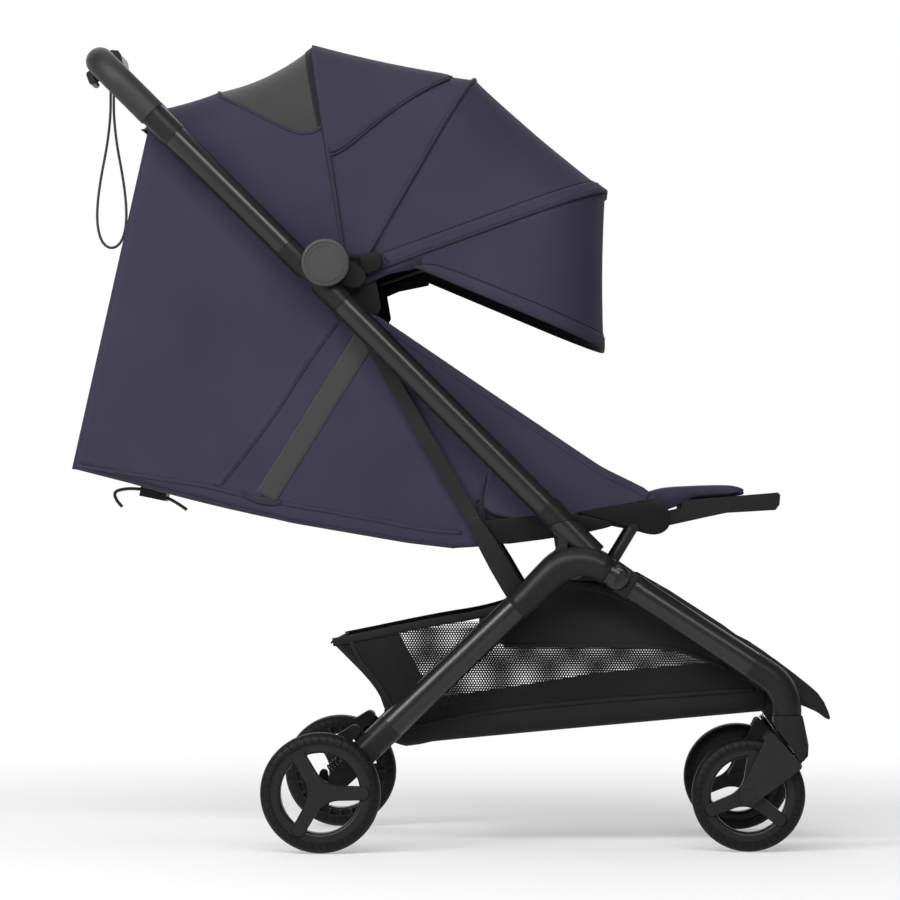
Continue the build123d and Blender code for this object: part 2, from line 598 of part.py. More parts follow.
def make_caster():
    y = FRONT_WHEEL_Y
    outline = [SLANT_HIGH, (CASTER_BACK, SWIVEL_Z), (430.0, SWIVEL_Z), (CASTER_FRONT, 131.0), (437.0, 118.0), (431.0, 112.0),
               SLANT_LOW]
    body = plate(outline, y - CASTER_HALF_W, y + CASTER_HALF_W, 1.5)
    plan = RectangleRounded(CASTER_FRONT - CASTER_BACK, 2 * CASTER_HALF_W, CASTER_ROUND)
    body &= extrude(Pos((CASTER_BACK + CASTER_FRONT) / 2, y, FRONT_PIN[1] - 40) * plan, SWIVEL_Z - FRONT_PIN[1] + 40)
    for a, b in ((9.8, 15.8), (-15.8, -9.8)):
        body -= link(FRONT_PIN, (424.0, 99.0), 9.5, 9.0, y + a, y + b)
        body -= link(FRONT_PIN, (412.0, 104.0), 9.5, 9.0, y + a, y + b)
    body += disc(FRONT_PIN, 4.0, y - 19.5, y + 19.5)
    return body + rod((SWIVEL_X, y, SWIVEL_Z - 2), (SWIVEL_X, y, SWIVEL_Z + 24), 6.0)


def make_fork():
    y = FRONT_WHEEL_Y
    body = disc(FORK_BRIDGE, 5.0, y - 20, y + 20)
    rings = [Pos(*FRONT_AXLE) * Circle(12), Pos(*FORK_BRIDGE) * Circle(5), Pos(*FORK_CORNER) * Circle(5)]
    edges = rings[0].edges() + rings[1].edges() + rings[2].edges()
    arm = make_hull(edges)
    for a, b, c, d in ((14.5, 20.0, 10.0, 15.5), (-20.0, -14.5, -15.5, -10.0)):
        body += extrude(side_plane(y + b) * arm, b - a)
        body += link(FRONT_PIN, FORK_EAR, 8.0, 4.0, y + c, y + d)
    body -= disc(FRONT_PIN, 4.0 + PIN_GAP, y - 25, y + 25)
    body += disc(FRONT_AXLE, AXLE_R, y - 20, y + 20)
    heads = disc(FRONT_AXLE, 8.0, y - 22, y - 20) + disc(FRONT_AXLE, 8.0, y + 20, y + 22)
    return body + heads


def make_front_spring():
    way = (SLANT_LOW[1] - SLANT_HIGH[1], SLANT_HIGH[0] - SLANT_LOW[0])
    size = math.hypot(*way)
    n = (-way[0] / size, -way[1] / size)
    gap = (SLANT_LOW[0] - FORK_BRIDGE[0]) * n[0] + (SLANT_LOW[1] - FORK_BRIDGE[1]) * n[1]
    low = (FORK_BRIDGE[0] + n[0] * 4.6, FORK_BRIDGE[1] + n[1] * 4.6)
    top = (FORK_BRIDGE[0] + n[0] * (gap + 0.3), FORK_BRIDGE[1] + n[1] * (gap + 0.3))
    return coil(p3(low, FRONT_WHEEL_Y), p3(top, FRONT_WHEEL_Y), 4.0, 1.4, 2)


nodes["front_leg_tubes"] = pair(make_front_leg())
nodes["front_elbows"] = pair(make_front_elbow())
nodes["foot_panel"] = [make_foot_panel()]
split_pair("caster", make_caster())
split_pair("fork", make_fork())
split_pair("front_spring", make_front_spring())

# Seat
HIP = [(14, 456), (27, 430), (50, 414), (92, 406), (130, 406), (172, 421), (225, 430), (250, 430), (262, 420),
       (264, 405), (252, 392), (236, 393), (182, 404), (150, 393), (105, 397), (48, 384), (26, 384), (12, 398), (8, 430)]


def make_seat_frame():
    pan = plate([(44, 396), (236, 414), (236, 406), (44, 388)], -SEAT_HALF_W - 1, SEAT_HALF_W + 1)
    body = pan
    for sign in (1, -1):
        y0, y1 = sorted((sign * HIP_Y[0], sign * HIP_Y[1]))
        body += plate(HIP, y0, y1, 4.0)
        body += link((150.0, 397.0), LEG_PIVOT, 12.0, 16.0, y0, y1)
        reach = sorted((sign * HIP_Y[0], sign * (BACKREST_HALF_W - 10)))
        body += disc(RECLINE_PIVOT, 5.0, *reach)
        reach = sorted((sign * HIP_Y[0], sign * (LEG_REST_HALF_W - 8)))
        body += disc(KNEE_PIVOT, 5.0, *reach)
    return body - disc(LEG_PIVOT, 10.0 + SEAT_GAP, -200, 200)


def crowned(points_low, points_top, half_w, corner):
    """Cushion: a side profile pulled across the width, with rounded edges."""
    body = plate(points_low + points_top, -half_w, half_w)
    return fillet(body.edges(), corner)


def make_seat_pad():
    return crowned([(48, 397), (234, 414.4)], [(234, 434), (180, 437), (110, 431), (48, 421)], SEAT_HALF_W - 4, 5.0)


def make_front_link():
    top = (222.0, 398.0)
    low = JOINT_TAIL
    y = (HIP_Y[1] + JOINT_Y[0]) / 2
    bar = rod(p3(top, y), p3(low, y), 6.5)
    bar += disc(top, 6.5, HIP_Y[1], y)
    return bar + disc(low, 6.5, y, JOINT_Y[0])


def make_buckle():
    body = plate([(176, 437.6), (222, 437.0), (222, 449), (176, 449)], -26, 26)
    body = fillet(body.edges().filter_by(Axis.Y), 3.0)
    return body - rod((BUCKLE_X, 0, 441), (BUCKLE_X, 0, 460), BUTTON_R + PIN_GAP)


BUCKLE_X = 199.0
BUTTON_R = 11.0
BUTTON_TRAVEL = 2.5


def make_buckle_button():
    low = 441 + BUTTON_TRAVEL + SIDE_GAP
    return rod((BUCKLE_X, 0, low), (BUCKLE_X, 0, 451), BUTTON_R)


nodes["seat_frame"] = [make_seat_frame()]
nodes["seat_pad"] = [make_seat_pad()]
nodes["front_links"] = pair(make_front_link())
nodes["harness_buckle"] = [make_buckle()]
nodes["buckle_button"] = [make_buckle_button()]

# Backrest
back_way = Vector(BACKREST_END[0] - RECLINE_PIVOT[0], 0, BACKREST_END[1] - RECLINE_PIVOT[1])
BACK_LEN = back_way.length
BACK_DIR = (back_way.X / BACK_LEN, back_way.Z / BACK_LEN)
BACK_NORMAL = (BACK_DIR[1], -BACK_DIR[0])


def along_back(t, off=0.0):
    """Point t millimetres up the backrest from its pivot, off millimetres above its line."""
    x = RECLINE_PIVOT[0] + BACK_DIR[0] * t + BACK_NORMAL[0] * off
    z = RECLINE_PIVOT[1] + BACK_DIR[1] * t + BACK_NORMAL[1] * off
    return (x, z)


def make_backrest_board():
    top = Polyline(along_back(BACK_LEN - 1, -14), along_back(BACK_LEN, -2), along_back(4, -2), along_back(4, -26))
    low = ThreePointArc(along_back(4, -26), along_back(240, -34), along_back(BACK_LEN - 1, -14))
    face = make_face(top.edges() + [low])
    body = extrude(side_plane(BACKREST_HALF_W) * face, 2 * BACKREST_HALF_W)
    body += disc(RECLINE_PIVOT, 11.0, -BACKREST_HALF_W, BACKREST_HALF_W)
    return body - disc(RECLINE_PIVOT, 5.0 + PIN_GAP, -200, 200)


def make_backrest_pad():
    top = [along_back(BACK_LEN - 6, 10), along_back(400, 19), along_back(260, 20), along_back(120, 18), along_back(26, 14)]
    return crowned([along_back(26, -2), along_back(BACK_LEN - 6, -2)], top, BACKREST_HALF_W - 2, 4.0)


def make_recline_clip():
    line = -25.0
    a, b = along_back(398, line + 4), along_back(432, line + 6)
    c, d = along_back(432, line - 12), along_back(398, line - 13)
    return plate([a, b, c, d], -22, 22)


nodes["backrest_board"] = [make_backrest_board()]
nodes["backrest_pad"] = [make_backrest_pad()]
nodes["recline_clip"] = [make_recline_clip() - nodes["backrest_board"][0]]

# Leg rest
rest_way = Vector(LEG_REST_END[0] - KNEE_PIVOT[0], 0, LEG_REST_END[1] - KNEE_PIVOT[1])
REST_LEN = rest_way.length
REST_DIR = (rest_way.X / REST_LEN, rest_way.Z / REST_LEN)
REST_NORMAL = (-REST_DIR[1], REST_DIR[0])


def along_rest(t, off=0.0):
    """Point t millimetres along the leg rest from its pivot, off millimetres above its line."""
    x = KNEE_PIVOT[0] + REST_DIR[0] * t + REST_NORMAL[0] * off
    z = KNEE_PIVOT[1] + REST_DIR[1] * t + REST_NORMAL[1] * off
    return (x, z)


TRAY_START = (38.8, 19.2)
TRAY_END = (REST_LEN + 1.5, 8.9)


def on_tray(t, off=0.0):
    """Point above the tray of the leg rest: t along the leg rest, off above the tray's top."""
    share = (t - TRAY_START[0]) / (TRAY_END[0] - TRAY_START[0])
    return along_rest(t, TRAY_START[1] + share * (TRAY_END[1] - TRAY_START[1]) + off)


def make_leg_rest_frame():
    nose = [along_rest(REST_LEN + 4, 5.4), along_rest(REST_LEN + 1, -6.3), along_rest(REST_LEN - 5, -12.3)]
    outline = [along_rest(0, 8), along_rest(33.1, 9.6), along_rest(35.4, 17.3), along_rest(*TRAY_START),
               along_rest(*TRAY_END)] + nose + [along_rest(88, -5.5), along_rest(62, -6.5), along_rest(0, -9.6)]
    body = plate(outline, -LEG_REST_HALF_W, LEG_REST_HALF_W)
    body += disc(KNEE_PIVOT, 10.0, -LEG_REST_HALF_W, LEG_REST_HALF_W)
    return body - disc(KNEE_PIVOT, 5.0 + PIN_GAP, -200, 200)


def make_leg_rest_pad():
    base = [along_rest(16.5, 25.6), on_tray(40, SEAT_GAP), on_tray(REST_LEN - 38, SEAT_GAP)]
    top = [along_rest(REST_LEN - 40, 19.1), along_rest(93.6, 25.4), along_rest(16.3, 35.8)]
    return crowned(base, top, LEG_REST_HALF_W - 4, 2.0)


nodes["leg_rest_frame"] = [make_leg_rest_frame()]
nodes["leg_rest_pad"] = [make_leg_rest_pad()]

# Soft walls
WALL = [(-475, 476), (-388, 897), (-206, 742), (-150, 684), (-93, 662), (45, 568), (183, 475), (236, 449), (252, 436),
        (225, 431), (172, 422), (130, 407), (92, 407), (50, 415), (27, 431), (34, 384), (40, 373), (0, 369), (-60, 376),
        (-205, 404), (-340, 439)]


def make_side_wall():
    return plate(WALL, *SIDE_WALL_Y)


def make_head_panel():
    return plate([(-476, 477), (-393, 903), (-390.8, 902.6), (-473.8, 476.6)], -HIP_Y[1], HIP_Y[1])


def make_recline_strap():
    a, b = (-111, 636), (-236, 436)
    size = math.hypot(b[0] - a[0], b[1] - a[1])
    n = (-(b[1] - a[1]) / size * 14, (b[0] - a[0]) / size * 14)
    outline = [(a[0] + n[0], a[1] + n[1]), (b[0] + n[0], b[1] + n[1]), (b[0] - n[0], b[1] - n[1]),
               (a[0] - n[0], a[1] - n[1])]
    return plate(outline, SIDE_WALL_Y[1] + 0.1, SIDE_WALL_Y[1] + 1.0)


BASKET_OUT = [(-152, 259), (-93, 199), (-82, 165), (-66, 139), (-30, 129), (119, 137), (392, 168), (380, 186), (218, 300),
              (170, 330), (132, 334), (31, 270), (-86, 254)]
BASKET_HALF_W = SIDE_WALL_Y[1] + PAD_GAP


def make_basket():
    outer = plate(BASKET_OUT, -BASKET_HALF_W, BASKET_HALF_W)
    inner_points = [(-153, 264), (-90.5, 200), (-79.6, 166), (-64.6, 141), (-30, 131.4), (119, 139.4), (388.5, 170),
                    (377.5, 184), (217, 302), (171, 336), (130, 340), (29, 276), (-86, 260)]
    return outer - plate(inner_points, -BASKET_HALF_W + 2.2, BASKET_HALF_W - 2.2)


nodes["side_walls"] = pair(make_side_wall())
nodes["head_panel"] = [make_head_panel()]
nodes["recline_straps"] = pair(make_recline_strap())
nodes["basket"] = [make_basket()]

# Canopy
def make_canopy_bracket():
    body = link(CANOPY_PIVOT, HUB, 14.0, 21.0, *BRACKET_Y)
    body += disc(HUB, 15.0, BRACKET_Y[1], HUB_IN)
    return body + disc(CANOPY_PIVOT, 4.0, BOW_HALF_W[2] - 5, BRACKET_Y[0])


def make_bow(angle, reach, half_w):
    start = polar(CANOPY_PIVOT, 6, angle)
    top = polar(CANOPY_PIVOT, reach, angle)
    points = [p3(start, half_w), p3(top, half_w), p3(top, -half_w), p3(start, -half_w)]
    body = bent_tube(points, BOW_CORNER_R, BOW_R)
    for sign in (1, -1):
        y0, y1 = sorted((sign * (half_w - 2), sign * (half_w + 2)))
        body += disc(CANOPY_PIVOT, 8.0, y0, y1)
    return body - disc(CANOPY_PIVOT, 4.0 + PIN_GAP, -200, 200)


def arch(a, b, half_w=CANOPY_HALF_W, corner=CANOPY_CORNER_R):
    """U-shaped edge of a canopy panel: up from a, across at b and down again, one cloth thick."""
    size = math.hypot(b[0] - a[0], b[1] - a[1])
    place = Plane(origin=p3(a, 0), x_dir=(b[0] - a[0], 0, b[1] - a[1]), z_dir=Vector(b[1] - a[1], 0, a[0] - b[0]))
    outer = FilletPolyline((0, half_w), (size, half_w), (size, -half_w), (0, -half_w), radius=corner)
    w, s, c = half_w - FABRIC, size - FABRIC, corner - FABRIC
    inner = FilletPolyline((0, w), (s, w), (s, -w), (0, -w), radius=c)
    ends = [Line((0, half_w), (0, w)), Line((0, -half_w), (0, -w))]
    return place * make_face(outer.edges() + inner.edges() + ends)


def panel(sections):
    """Canopy panel: one shell through two or more arches."""
    return loft(sections, ruled=True)


def bow_arch(k, turn=0.0):
    angle = BOW_ANGLES[k] + turn
    return arch(polar(CANOPY_PIVOT, 24, angle), polar(CANOPY_PIVOT, PANEL_REACH[k], angle))


REAR_ARCH = arch(polar(CANOPY_PIVOT, 24, 144.3), (-391, 904))
WINDOW_ARCH = arch(polar(CANOPY_PIVOT, 24, 126.3), (-298, 949))
VISOR_ARCH = arch((-49, 723), (188, 622))
VISOR_TOP = arch(polar(CANOPY_PIVOT, 60, BOW_ANGLES[2] - 0.3), polar(CANOPY_PIVOT, PANEL_REACH[2], BOW_ANGLES[2] - 0.3))

nodes["canopy_brackets"] = pair(make_canopy_bracket())
for k in range(3):
    nodes["canopy_bow_" + str(k + 1)] = [make_bow(BOW_ANGLES[k], BOW_REACH[k], BOW_HALF_W[k])]
nodes["canopy_rear"] = [panel([REAR_ARCH, WINDOW_ARCH, bow_arch(0, 0.2)])]
nodes["canopy_middle"] = [panel([bow_arch(0, -0.2), bow_arch(1, 0.2)])]
nodes["canopy_front"] = [panel([bow_arch(1, -0.2), bow_arch(2, 0.2)])]
nodes["canopy_visor"] = [panel([VISOR_TOP, VISOR_ARCH])]

os.makedirs("parts", exist_ok=True)
for name, solids in nodes.items():
    pieces = [Pos(-ORIGIN_X, 0, 0) * solid for shape in solids for solid in shape.solids()]
    whole = pieces[0] if len(pieces) == 1 else Compound(children=pieces)
    export_step(whole, "parts/" + name + ".step")
    if len(pieces) != len(solids):
        print(name, "has", len(pieces), "solids")
print(len(nodes), "nodes")
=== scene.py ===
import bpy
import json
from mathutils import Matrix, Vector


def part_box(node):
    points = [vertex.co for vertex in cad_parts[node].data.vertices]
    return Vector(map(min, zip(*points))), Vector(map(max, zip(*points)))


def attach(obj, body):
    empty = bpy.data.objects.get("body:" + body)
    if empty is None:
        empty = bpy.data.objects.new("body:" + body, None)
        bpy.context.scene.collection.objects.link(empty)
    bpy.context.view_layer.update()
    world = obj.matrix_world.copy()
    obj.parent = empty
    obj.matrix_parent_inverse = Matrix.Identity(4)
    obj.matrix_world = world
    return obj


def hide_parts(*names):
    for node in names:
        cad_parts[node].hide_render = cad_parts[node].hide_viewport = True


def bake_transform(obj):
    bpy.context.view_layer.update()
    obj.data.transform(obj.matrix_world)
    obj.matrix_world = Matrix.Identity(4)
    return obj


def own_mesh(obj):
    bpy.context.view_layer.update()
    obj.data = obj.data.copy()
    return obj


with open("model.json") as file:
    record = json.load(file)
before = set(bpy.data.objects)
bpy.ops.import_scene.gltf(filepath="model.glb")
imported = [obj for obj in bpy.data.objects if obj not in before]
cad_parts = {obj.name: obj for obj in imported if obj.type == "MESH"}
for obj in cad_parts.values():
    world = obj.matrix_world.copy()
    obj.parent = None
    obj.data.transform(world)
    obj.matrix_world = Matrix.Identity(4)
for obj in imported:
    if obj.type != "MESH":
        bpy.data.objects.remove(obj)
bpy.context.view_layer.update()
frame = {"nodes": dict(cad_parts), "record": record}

import json
import math

import bmesh
import bpy
from mathutils import Vector, noise
from mathutils.bvhtree import BVHTree
from mathutils.geometry import delaunay_2d_cdt

NODES = frame["nodes"]
NEAR, FAR = -1, 1
SIDES = ((NEAR, "right"), (FAR, "left"))

# ---------------------------------------------------------------- places
# Lengths in millimetres are side-view places (x, z); lengths in metres go to Blender.
MM = 0.001
ORIGIN_X = -5.0
SEEN_SCALE = 1.2469
SEEN_FROM, SEEN_TO = (575.0, 515.0), (150.3, 415.0)
PIVOT = (-124.0, 712.0)          # canopy pivot
CANOPY_HALF = 138.5
CANOPY_CORNER = 86.0


def at(x, z, y=0.0):
    """A point of the part's own frame: millimetres in, metres out."""
    return Vector(((x - ORIGIN_X) * MM, y * MM, z * MM))


def seen(px, py):
    """Side-view millimetres of a picture point that lies on the near side of the seat."""
    return ((px - SEEN_FROM[0]) * SEEN_SCALE + SEEN_TO[0],
            SEEN_TO[1] + (SEEN_FROM[1] - py) * SEEN_SCALE)


def polar(reach, degrees):
    a = math.radians(degrees)
    return (PIVOT[0] + reach * math.cos(a), PIVOT[1] + reach * math.sin(a))


def shares(count):
    return [k / count for k in range(count + 1)]


def mix2(a, b, t):
    return (a[0] + (b[0] - a[0]) * t, a[1] + (b[1] - a[1]) * t)


def moved(points, dx, dz):
    return [(x + dx, z + dz) for x, z in points]


def beside(start, way, pairs):
    """Points given along a line and to its left, as (x, z)."""
    return [(start[0] + way[0] * t - way[1] * off, start[1] + way[1] * t + way[0] * off)
            for t, off in pairs]


def flat_line(points):
    """Side-view points as vectors, still in millimetres."""
    return [Vector((x, 0, z)) for x, z in points]


def smooth(lo, hi, x):
    t = min(1.0, max(0.0, (x - lo) / (hi - lo)))
    return t * t * (3 - 2 * t)


def sample(table, s):
    """Reads a table of (s, values...) with straight runs between its rows."""
    if s <= table[0][0]:
        return table[0][1:]
    for low, high in zip(table, table[1:]):
        if s <= high[0]:
            t = (s - low[0]) / (high[0] - low[0])
            return tuple(p + (q - p) * t for p, q in zip(low[1:], high[1:]))
    return table[-1][1:]


def rounded(points, turns=2):
    """Rounds the corners of an open line by cutting them, once for each turn."""
    for _ in range(turns):
        new = [points[0]]
        for a, b in zip(points, points[1:]):
            new += [a + (b - a) * 0.25, a + (b - a) * 0.75]
        points = new + [points[-1]]
    return points


def spaced(points, step):
    """The line again, with points one step apart."""
    out = [points[0].copy()]
    left = step
    for a, b in zip(points, points[1:]):
        run = (b - a).length
        while run > 0 and left <= run:
            out.append(a + (b - a) * (left / run))
            left += step
        left -= run
    return out


# ---------------------------------------------------------------- materials
WHITE = (1.0, 1.0, 1.0, 1.0)
NAVY_DARK, NAVY_LIGHT = (0.0268, 0.0240, 0.0462), (0.0338, 0.0302, 0.0573)
NAVY_TINT, BLACK_TINT = (0.1, 0.1, 0.14), (0.12, 0.12, 0.12)
TREAD_LINES, TREAD_LEAN = 44.0, 520.0


def start_material(name):
    material = bpy.data.materials.new(name)
    material.use_nodes = True
    material.node_tree.nodes.clear()
    return material, material.node_tree


def node(tree, kind, *feeds, **settings):
    """A shader node. Each feed names an input and gives its value or another node's output."""
    new = tree.nodes.new("ShaderNode" + kind)
    for key, value in settings.items():
        setattr(new, key, value)
    for key, value in feeds:
        if isinstance(value, bpy.types.NodeSocket):
            tree.links.new(value, new.inputs[key])
        else:
            new.inputs[key].default_value = value
    return new


def place_of(tree, uv=False):
    return node(tree, "TexCoord").outputs["UV" if uv else "Object"]


def noise_of(tree, where, scale, detail=3.0, rough=0.55):
    return node(tree, "TexNoise", ("Vector", where), ("Scale", scale), ("Detail", detail),
                ("Roughness", rough)).outputs[0]


def wave_of(tree, where, direction, period):
    return node(tree, "TexWave", ("Vector", where), ("Scale", 2 * math.pi / (20 * period)),
                ("Distortion", 0.0), wave_type="BANDS", bands_direction=direction,
                wave_profile="SIN").outputs["Fac"]


def maths(tree, kind, *values):
    return node(tree, "Math", *enumerate(values), operation=kind).outputs[0]


def ramp_of(tree, fac, *stops):
    new = node(tree, "ValToRGB", ("Fac", fac))
    elements = new.color_ramp.elements
    while len(elements) < len(stops):
        elements.new(0.5)
    for element, (place, tone) in zip(elements, stops):
        element.position = place
        element.color = (*tone, 1.0)
    return new.outputs["Color"]


def grey(v):
    return (v, v, v)


def greys(tree, fac, *stops):
    """A ramp of plain greys, given as (place, value)."""
    return ramp_of(tree, fac, *((place, grey(v)) for place, v in stops))


def multiplied(tree, share, a, b):
    return node(tree, "Mix", (0, share), (6, a), (7, b), data_type="RGBA",
                blend_type="MULTIPLY").outputs[2]


def bump_of(tree, height, strength, distance, under=None):
    new = node(tree, "Bump", ("Strength", strength), ("Distance", distance), ("Height", height))
    if under is not None:
        tree.links.new(under, new.inputs["Normal"])
    return new.outputs[0]


def dress(tree, tone, rough, normal, *levels):
    """The surface itself; levels are plain values for its other sockets."""
    shader = node(tree, "BsdfPrincipled", ("Base Color", tone), ("Roughness", rough),
                  ("Normal", normal), *levels)
    node(tree, "OutputMaterial", ("Surface", shader.outputs[0]))


def cloth(name, dark, light, pitch=0.0011, uv=True, folds=0.0, tint=NAVY_TINT):
    """Woven cloth: plain weave in the bump, and in the colour as painted shade between threads and
    painted highlight on their crowns; slow tone changes and soft folds.
    """
    material, tree = start_material(name)
    place, threads = place_of(tree), place_of(tree, uv)
    weave = maths(tree, "MULTIPLY", *(wave_of(tree, threads, way, pitch) for way in "XY"))
    slow = noise_of(tree, place, 7.0, 2.0)
    fuzz = noise_of(tree, place, 900.0, 2.0, 0.7)
    tone = ramp_of(tree, slow, (0.3, dark), (0.7, light))
    # the weave darkens the colour between threads and lifts it on their crowns: painted shade and
    # highlight
    tone = multiplied(tree, 0.8, tone, greys(tree, weave, (0.0, 0.8), (0.6, 1.06)))
    tone = multiplied(tree, 0.35, tone, greys(tree, fuzz, (0.3, 0.75), (0.7, 1.2)))
    normal = bump_of(tree, weave, 0.35, 0.0003)
    normal = bump_of(tree, fuzz, 0.12, 0.0002, normal)
    if folds:
        normal = bump_of(tree, noise_of(tree, place, 9.0, 1.5, 0.4), 0.5, folds, normal)
    dress(tree, tone, greys(tree, fuzz, (0.2, 0.72), (0.8, 0.86)), normal, ("Sheen Weight", 0.3),
          ("Sheen Roughness", 0.45), ("Sheen Tint", (*tint, 1.0)), ("Specular IOR Level", 0.25))
    return material


def netting(name, dark, light, pitch):
    """Fine knitted mesh: staggered dark openings between lighter threads."""
    material, tree = start_material(name)
    where = place_of(tree, True)
    mesh = maths(tree, "MAXIMUM", *(wave_of(tree, where, way, pitch) for way in "XY"))
    diagonal = wave_of(tree, where, "DIAGONAL", pitch * 1.15)
    knit = maths(tree, "MULTIPLY", mesh, maths(tree, "ADD", diagonal, 0.35))
    slow = noise_of(tree, place_of(tree), 12.0, 2.0)
    tone = ramp_of(tree, knit, (0.15, dark), (0.7, light))
    tone = multiplied(tree, 0.5, tone, greys(tree, slow, (0.3, 0.8), (0.7, 1.15)))
    dress(tree, tone, greys(tree, knit, (0.0, 0.9), (1.0, 0.62)), bump_of(tree, knit, 0.5, 0.0005),
          ("Sheen Weight", 0.15))
    return material


def webbing_material(name, dark, light):
    """Flat woven strap: ribs across it and finer ones along it, in the bump and in the colour,
    where the hollows between ribs are painted shade.
    """
    material, tree = start_material(name)
    where = place_of(tree, True)
    ribs = maths(tree, "MULTIPLY", wave_of(tree, where, "X", 0.0016), 0.7)
    ends = maths(tree, "MULTIPLY", wave_of(tree, where, "Y", 0.0022), 0.3)
    body = maths(tree, "ADD", ribs, ends)
    fuzz = noise_of(tree, place_of(tree), 700.0, 2.0, 0.6)
    # the ribs set the tone: the strap's own black, darker in the hollows between ribs as painted
    # shade and lighter on them as painted highlight
    tone = ramp_of(tree, body, (0.1, dark), (0.9, light))
    tone = multiplied(tree, 0.4, tone, greys(tree, fuzz, (0.3, 0.75), (0.7, 1.2)))
    dress(tree, tone, greys(tree, fuzz, (0.2, 0.6), (0.8, 0.78)), bump_of(tree, body, 0.5, 0.0005),
          ("Sheen Weight", 0.2))
    return material


def hard(name, dark, light, rough, grain=900.0, depth=0.00012, strength=0.3, metallic=0.0,
         spec=0.5):
    """Moulded plastic or painted metal: fine surface grain, slow tone and gloss changes."""
    material, tree = start_material(name)
    place = place_of(tree)
    slow = noise_of(tree, place, 11.0)
    fine = noise_of(tree, place, grain, 2.0, 0.5)
    gloss = maths(tree, "ADD", *(maths(tree, "MULTIPLY", part, 0.5) for part in (slow, fine)))
    tone = ramp_of(tree, slow, (0.3, dark), (0.7, light))
    dress(tree, tone, greys(tree, gloss, (0.3, rough[0]), (0.7, rough[1])),
          bump_of(tree, fine, strength, depth), ("Metallic", metallic),
          ("Specular IOR Level", spec))
    return material


def leather(name, dark, light):
    """Grip cover: small raised cells with creases between them, darker in colour as painted shade.
    """
    material, tree = start_material(name)
    place = place_of(tree)
    cells = node(tree, "TexVoronoi", ("Vector", place), ("Scale", 420.0),
                 feature="DISTANCE_TO_EDGE")
    crease = greys(tree, cells.outputs["Distance"], (0.0, 0.0), (0.16, 1.0))
    slow = noise_of(tree, place, 40.0)
    tone = ramp_of(tree, slow, (0.3, dark), (0.7, light))
    # the creases also darken the colour: painted shade in them
    tone = multiplied(tree, 0.5, tone, greys(tree, crease, (0.0, 0.6), (1.0, 1.05)))
    dress(tree, tone, greys(tree, slow, (0.2, 0.5), (0.8, 0.64)),
          bump_of(tree, crease, 0.3, 0.00025))
    return material


def tyre_material(name, centre):
    """Soft tyre with thin slanted tread lines that meet in a V at the middle; the lines are
    grooves, also darkened in colour as painted shade.
    """
    material, tree = start_material(name)
    place = place_of(tree)
    parts = node(tree, "SeparateXYZ", (0, place)).outputs
    x, y, z = (maths(tree, "SUBTRACT", parts[k], centre[k]) for k in range(3))
    turn = maths(tree, "MULTIPLY", maths(tree, "ARCTAN2", z, x), TREAD_LINES)
    lean = maths(tree, "MULTIPLY", maths(tree, "ABSOLUTE", y), TREAD_LEAN)
    line = maths(tree, "SINE", maths(tree, "ADD", turn, lean))
    tread = greys(tree, line, (0.0, 1.0), (0.82, 1.0), (0.95, 0.0))
    slow = noise_of(tree, place, 18.0)
    tone = greys(tree, slow, (0.3, 0.0040), (0.7, 0.0065))
    normal = bump_of(tree, noise_of(tree, place, 1200.0, 2.0), 0.25, 0.00015)
    # the tread lines darken the colour as painted shade in the grooves, and cut the grooves in the
    # bump
    dress(tree, multiplied(tree, 0.6, tone, tread), greys(tree, slow, (0.2, 0.48), (0.8, 0.6)),
          bump_of(tree, tread, 0.8, 0.0009, normal), ("Specular IOR Level", 0.2))
    return material


M = {
    "navy": cloth("navy_weave", NAVY_DARK, NAVY_LIGHT, folds=0.0035),
    "navy_trim": cloth("navy_binding", (0.022, 0.020, 0.034), (0.029, 0.026, 0.044), pitch=0.0008),
    "navy_pad": cloth("navy_pad_weave", NAVY_DARK, NAVY_LIGHT, uv=False, folds=0.002),
    "lining": cloth("dark_lining", (0.010, 0.0095, 0.014), (0.014, 0.0132, 0.019), folds=0.003),
    "black_cloth": cloth("black_weave", grey(0.0065), grey(0.0105), tint=BLACK_TINT),
    "net": cloth("black_net_thread", grey(0.008), grey(0.013), pitch=0.0006, tint=BLACK_TINT),
    "window": netting("window_netting", grey(0.009), grey(0.027), 0.0015),
    "webbing": webbing_material("strap_webbing", grey(0.012), grey(0.030)),
    "thread": cloth("navy_thread", (0.052, 0.047, 0.080), (0.062, 0.056, 0.095), pitch=0.0004),
    "black_thread": cloth("black_thread", grey(0.018), grey(0.026), pitch=0.0004, tint=BLACK_TINT),
    "tube": hard("satin_tube", grey(0.0080), grey(0.0110), (0.27, 0.34), grain=1500.0,
                 depth=0.00002, strength=0.08, spec=0.45),
    "casting": hard("dark_casting", (0.0085, 0.0086, 0.0088), (0.0115, 0.0117, 0.0120),
                    (0.38, 0.46), grain=800.0, spec=0.22),
    "cap": hard("grey_cap", (0.026, 0.0265, 0.0275), (0.032, 0.0325, 0.0335), (0.42, 0.5)),
    "plastic": hard("black_plastic", grey(0.0050), grey(0.0075), (0.42, 0.55), grain=700.0,
                    spec=0.14),
    "wheel": hard("wheel_plastic", grey(0.0085), grey(0.0115), (0.34, 0.44), spec=0.28),
    "fork": hard("fork_plastic", grey(0.0125), grey(0.0155), (0.40, 0.5), spec=0.25),
    "steel": hard("plated_steel", grey(0.32), grey(0.42), (0.26, 0.36), grain=400.0, metallic=1.0),
    "grip": leather("grip_cover", grey(0.0085), grey(0.0120)),
    "dark_steel": hard("dark_spring_steel", grey(0.06), grey(0.09), (0.3, 0.42), grain=400.0,
                       metallic=0.9),
}

TYRE_SLOT = "tyre_black"
SLOT_LOOK = {
    "frame_black": "tube", "casting_black": "casting", "cap_grey": "cap", "grip": "grip",
    "navy_cloth": "navy", "black_cloth": "black_cloth", "webbing": "webbing",
    "pad_cloth": "navy_pad", "wheel_black": "wheel", "steel": "steel",
}
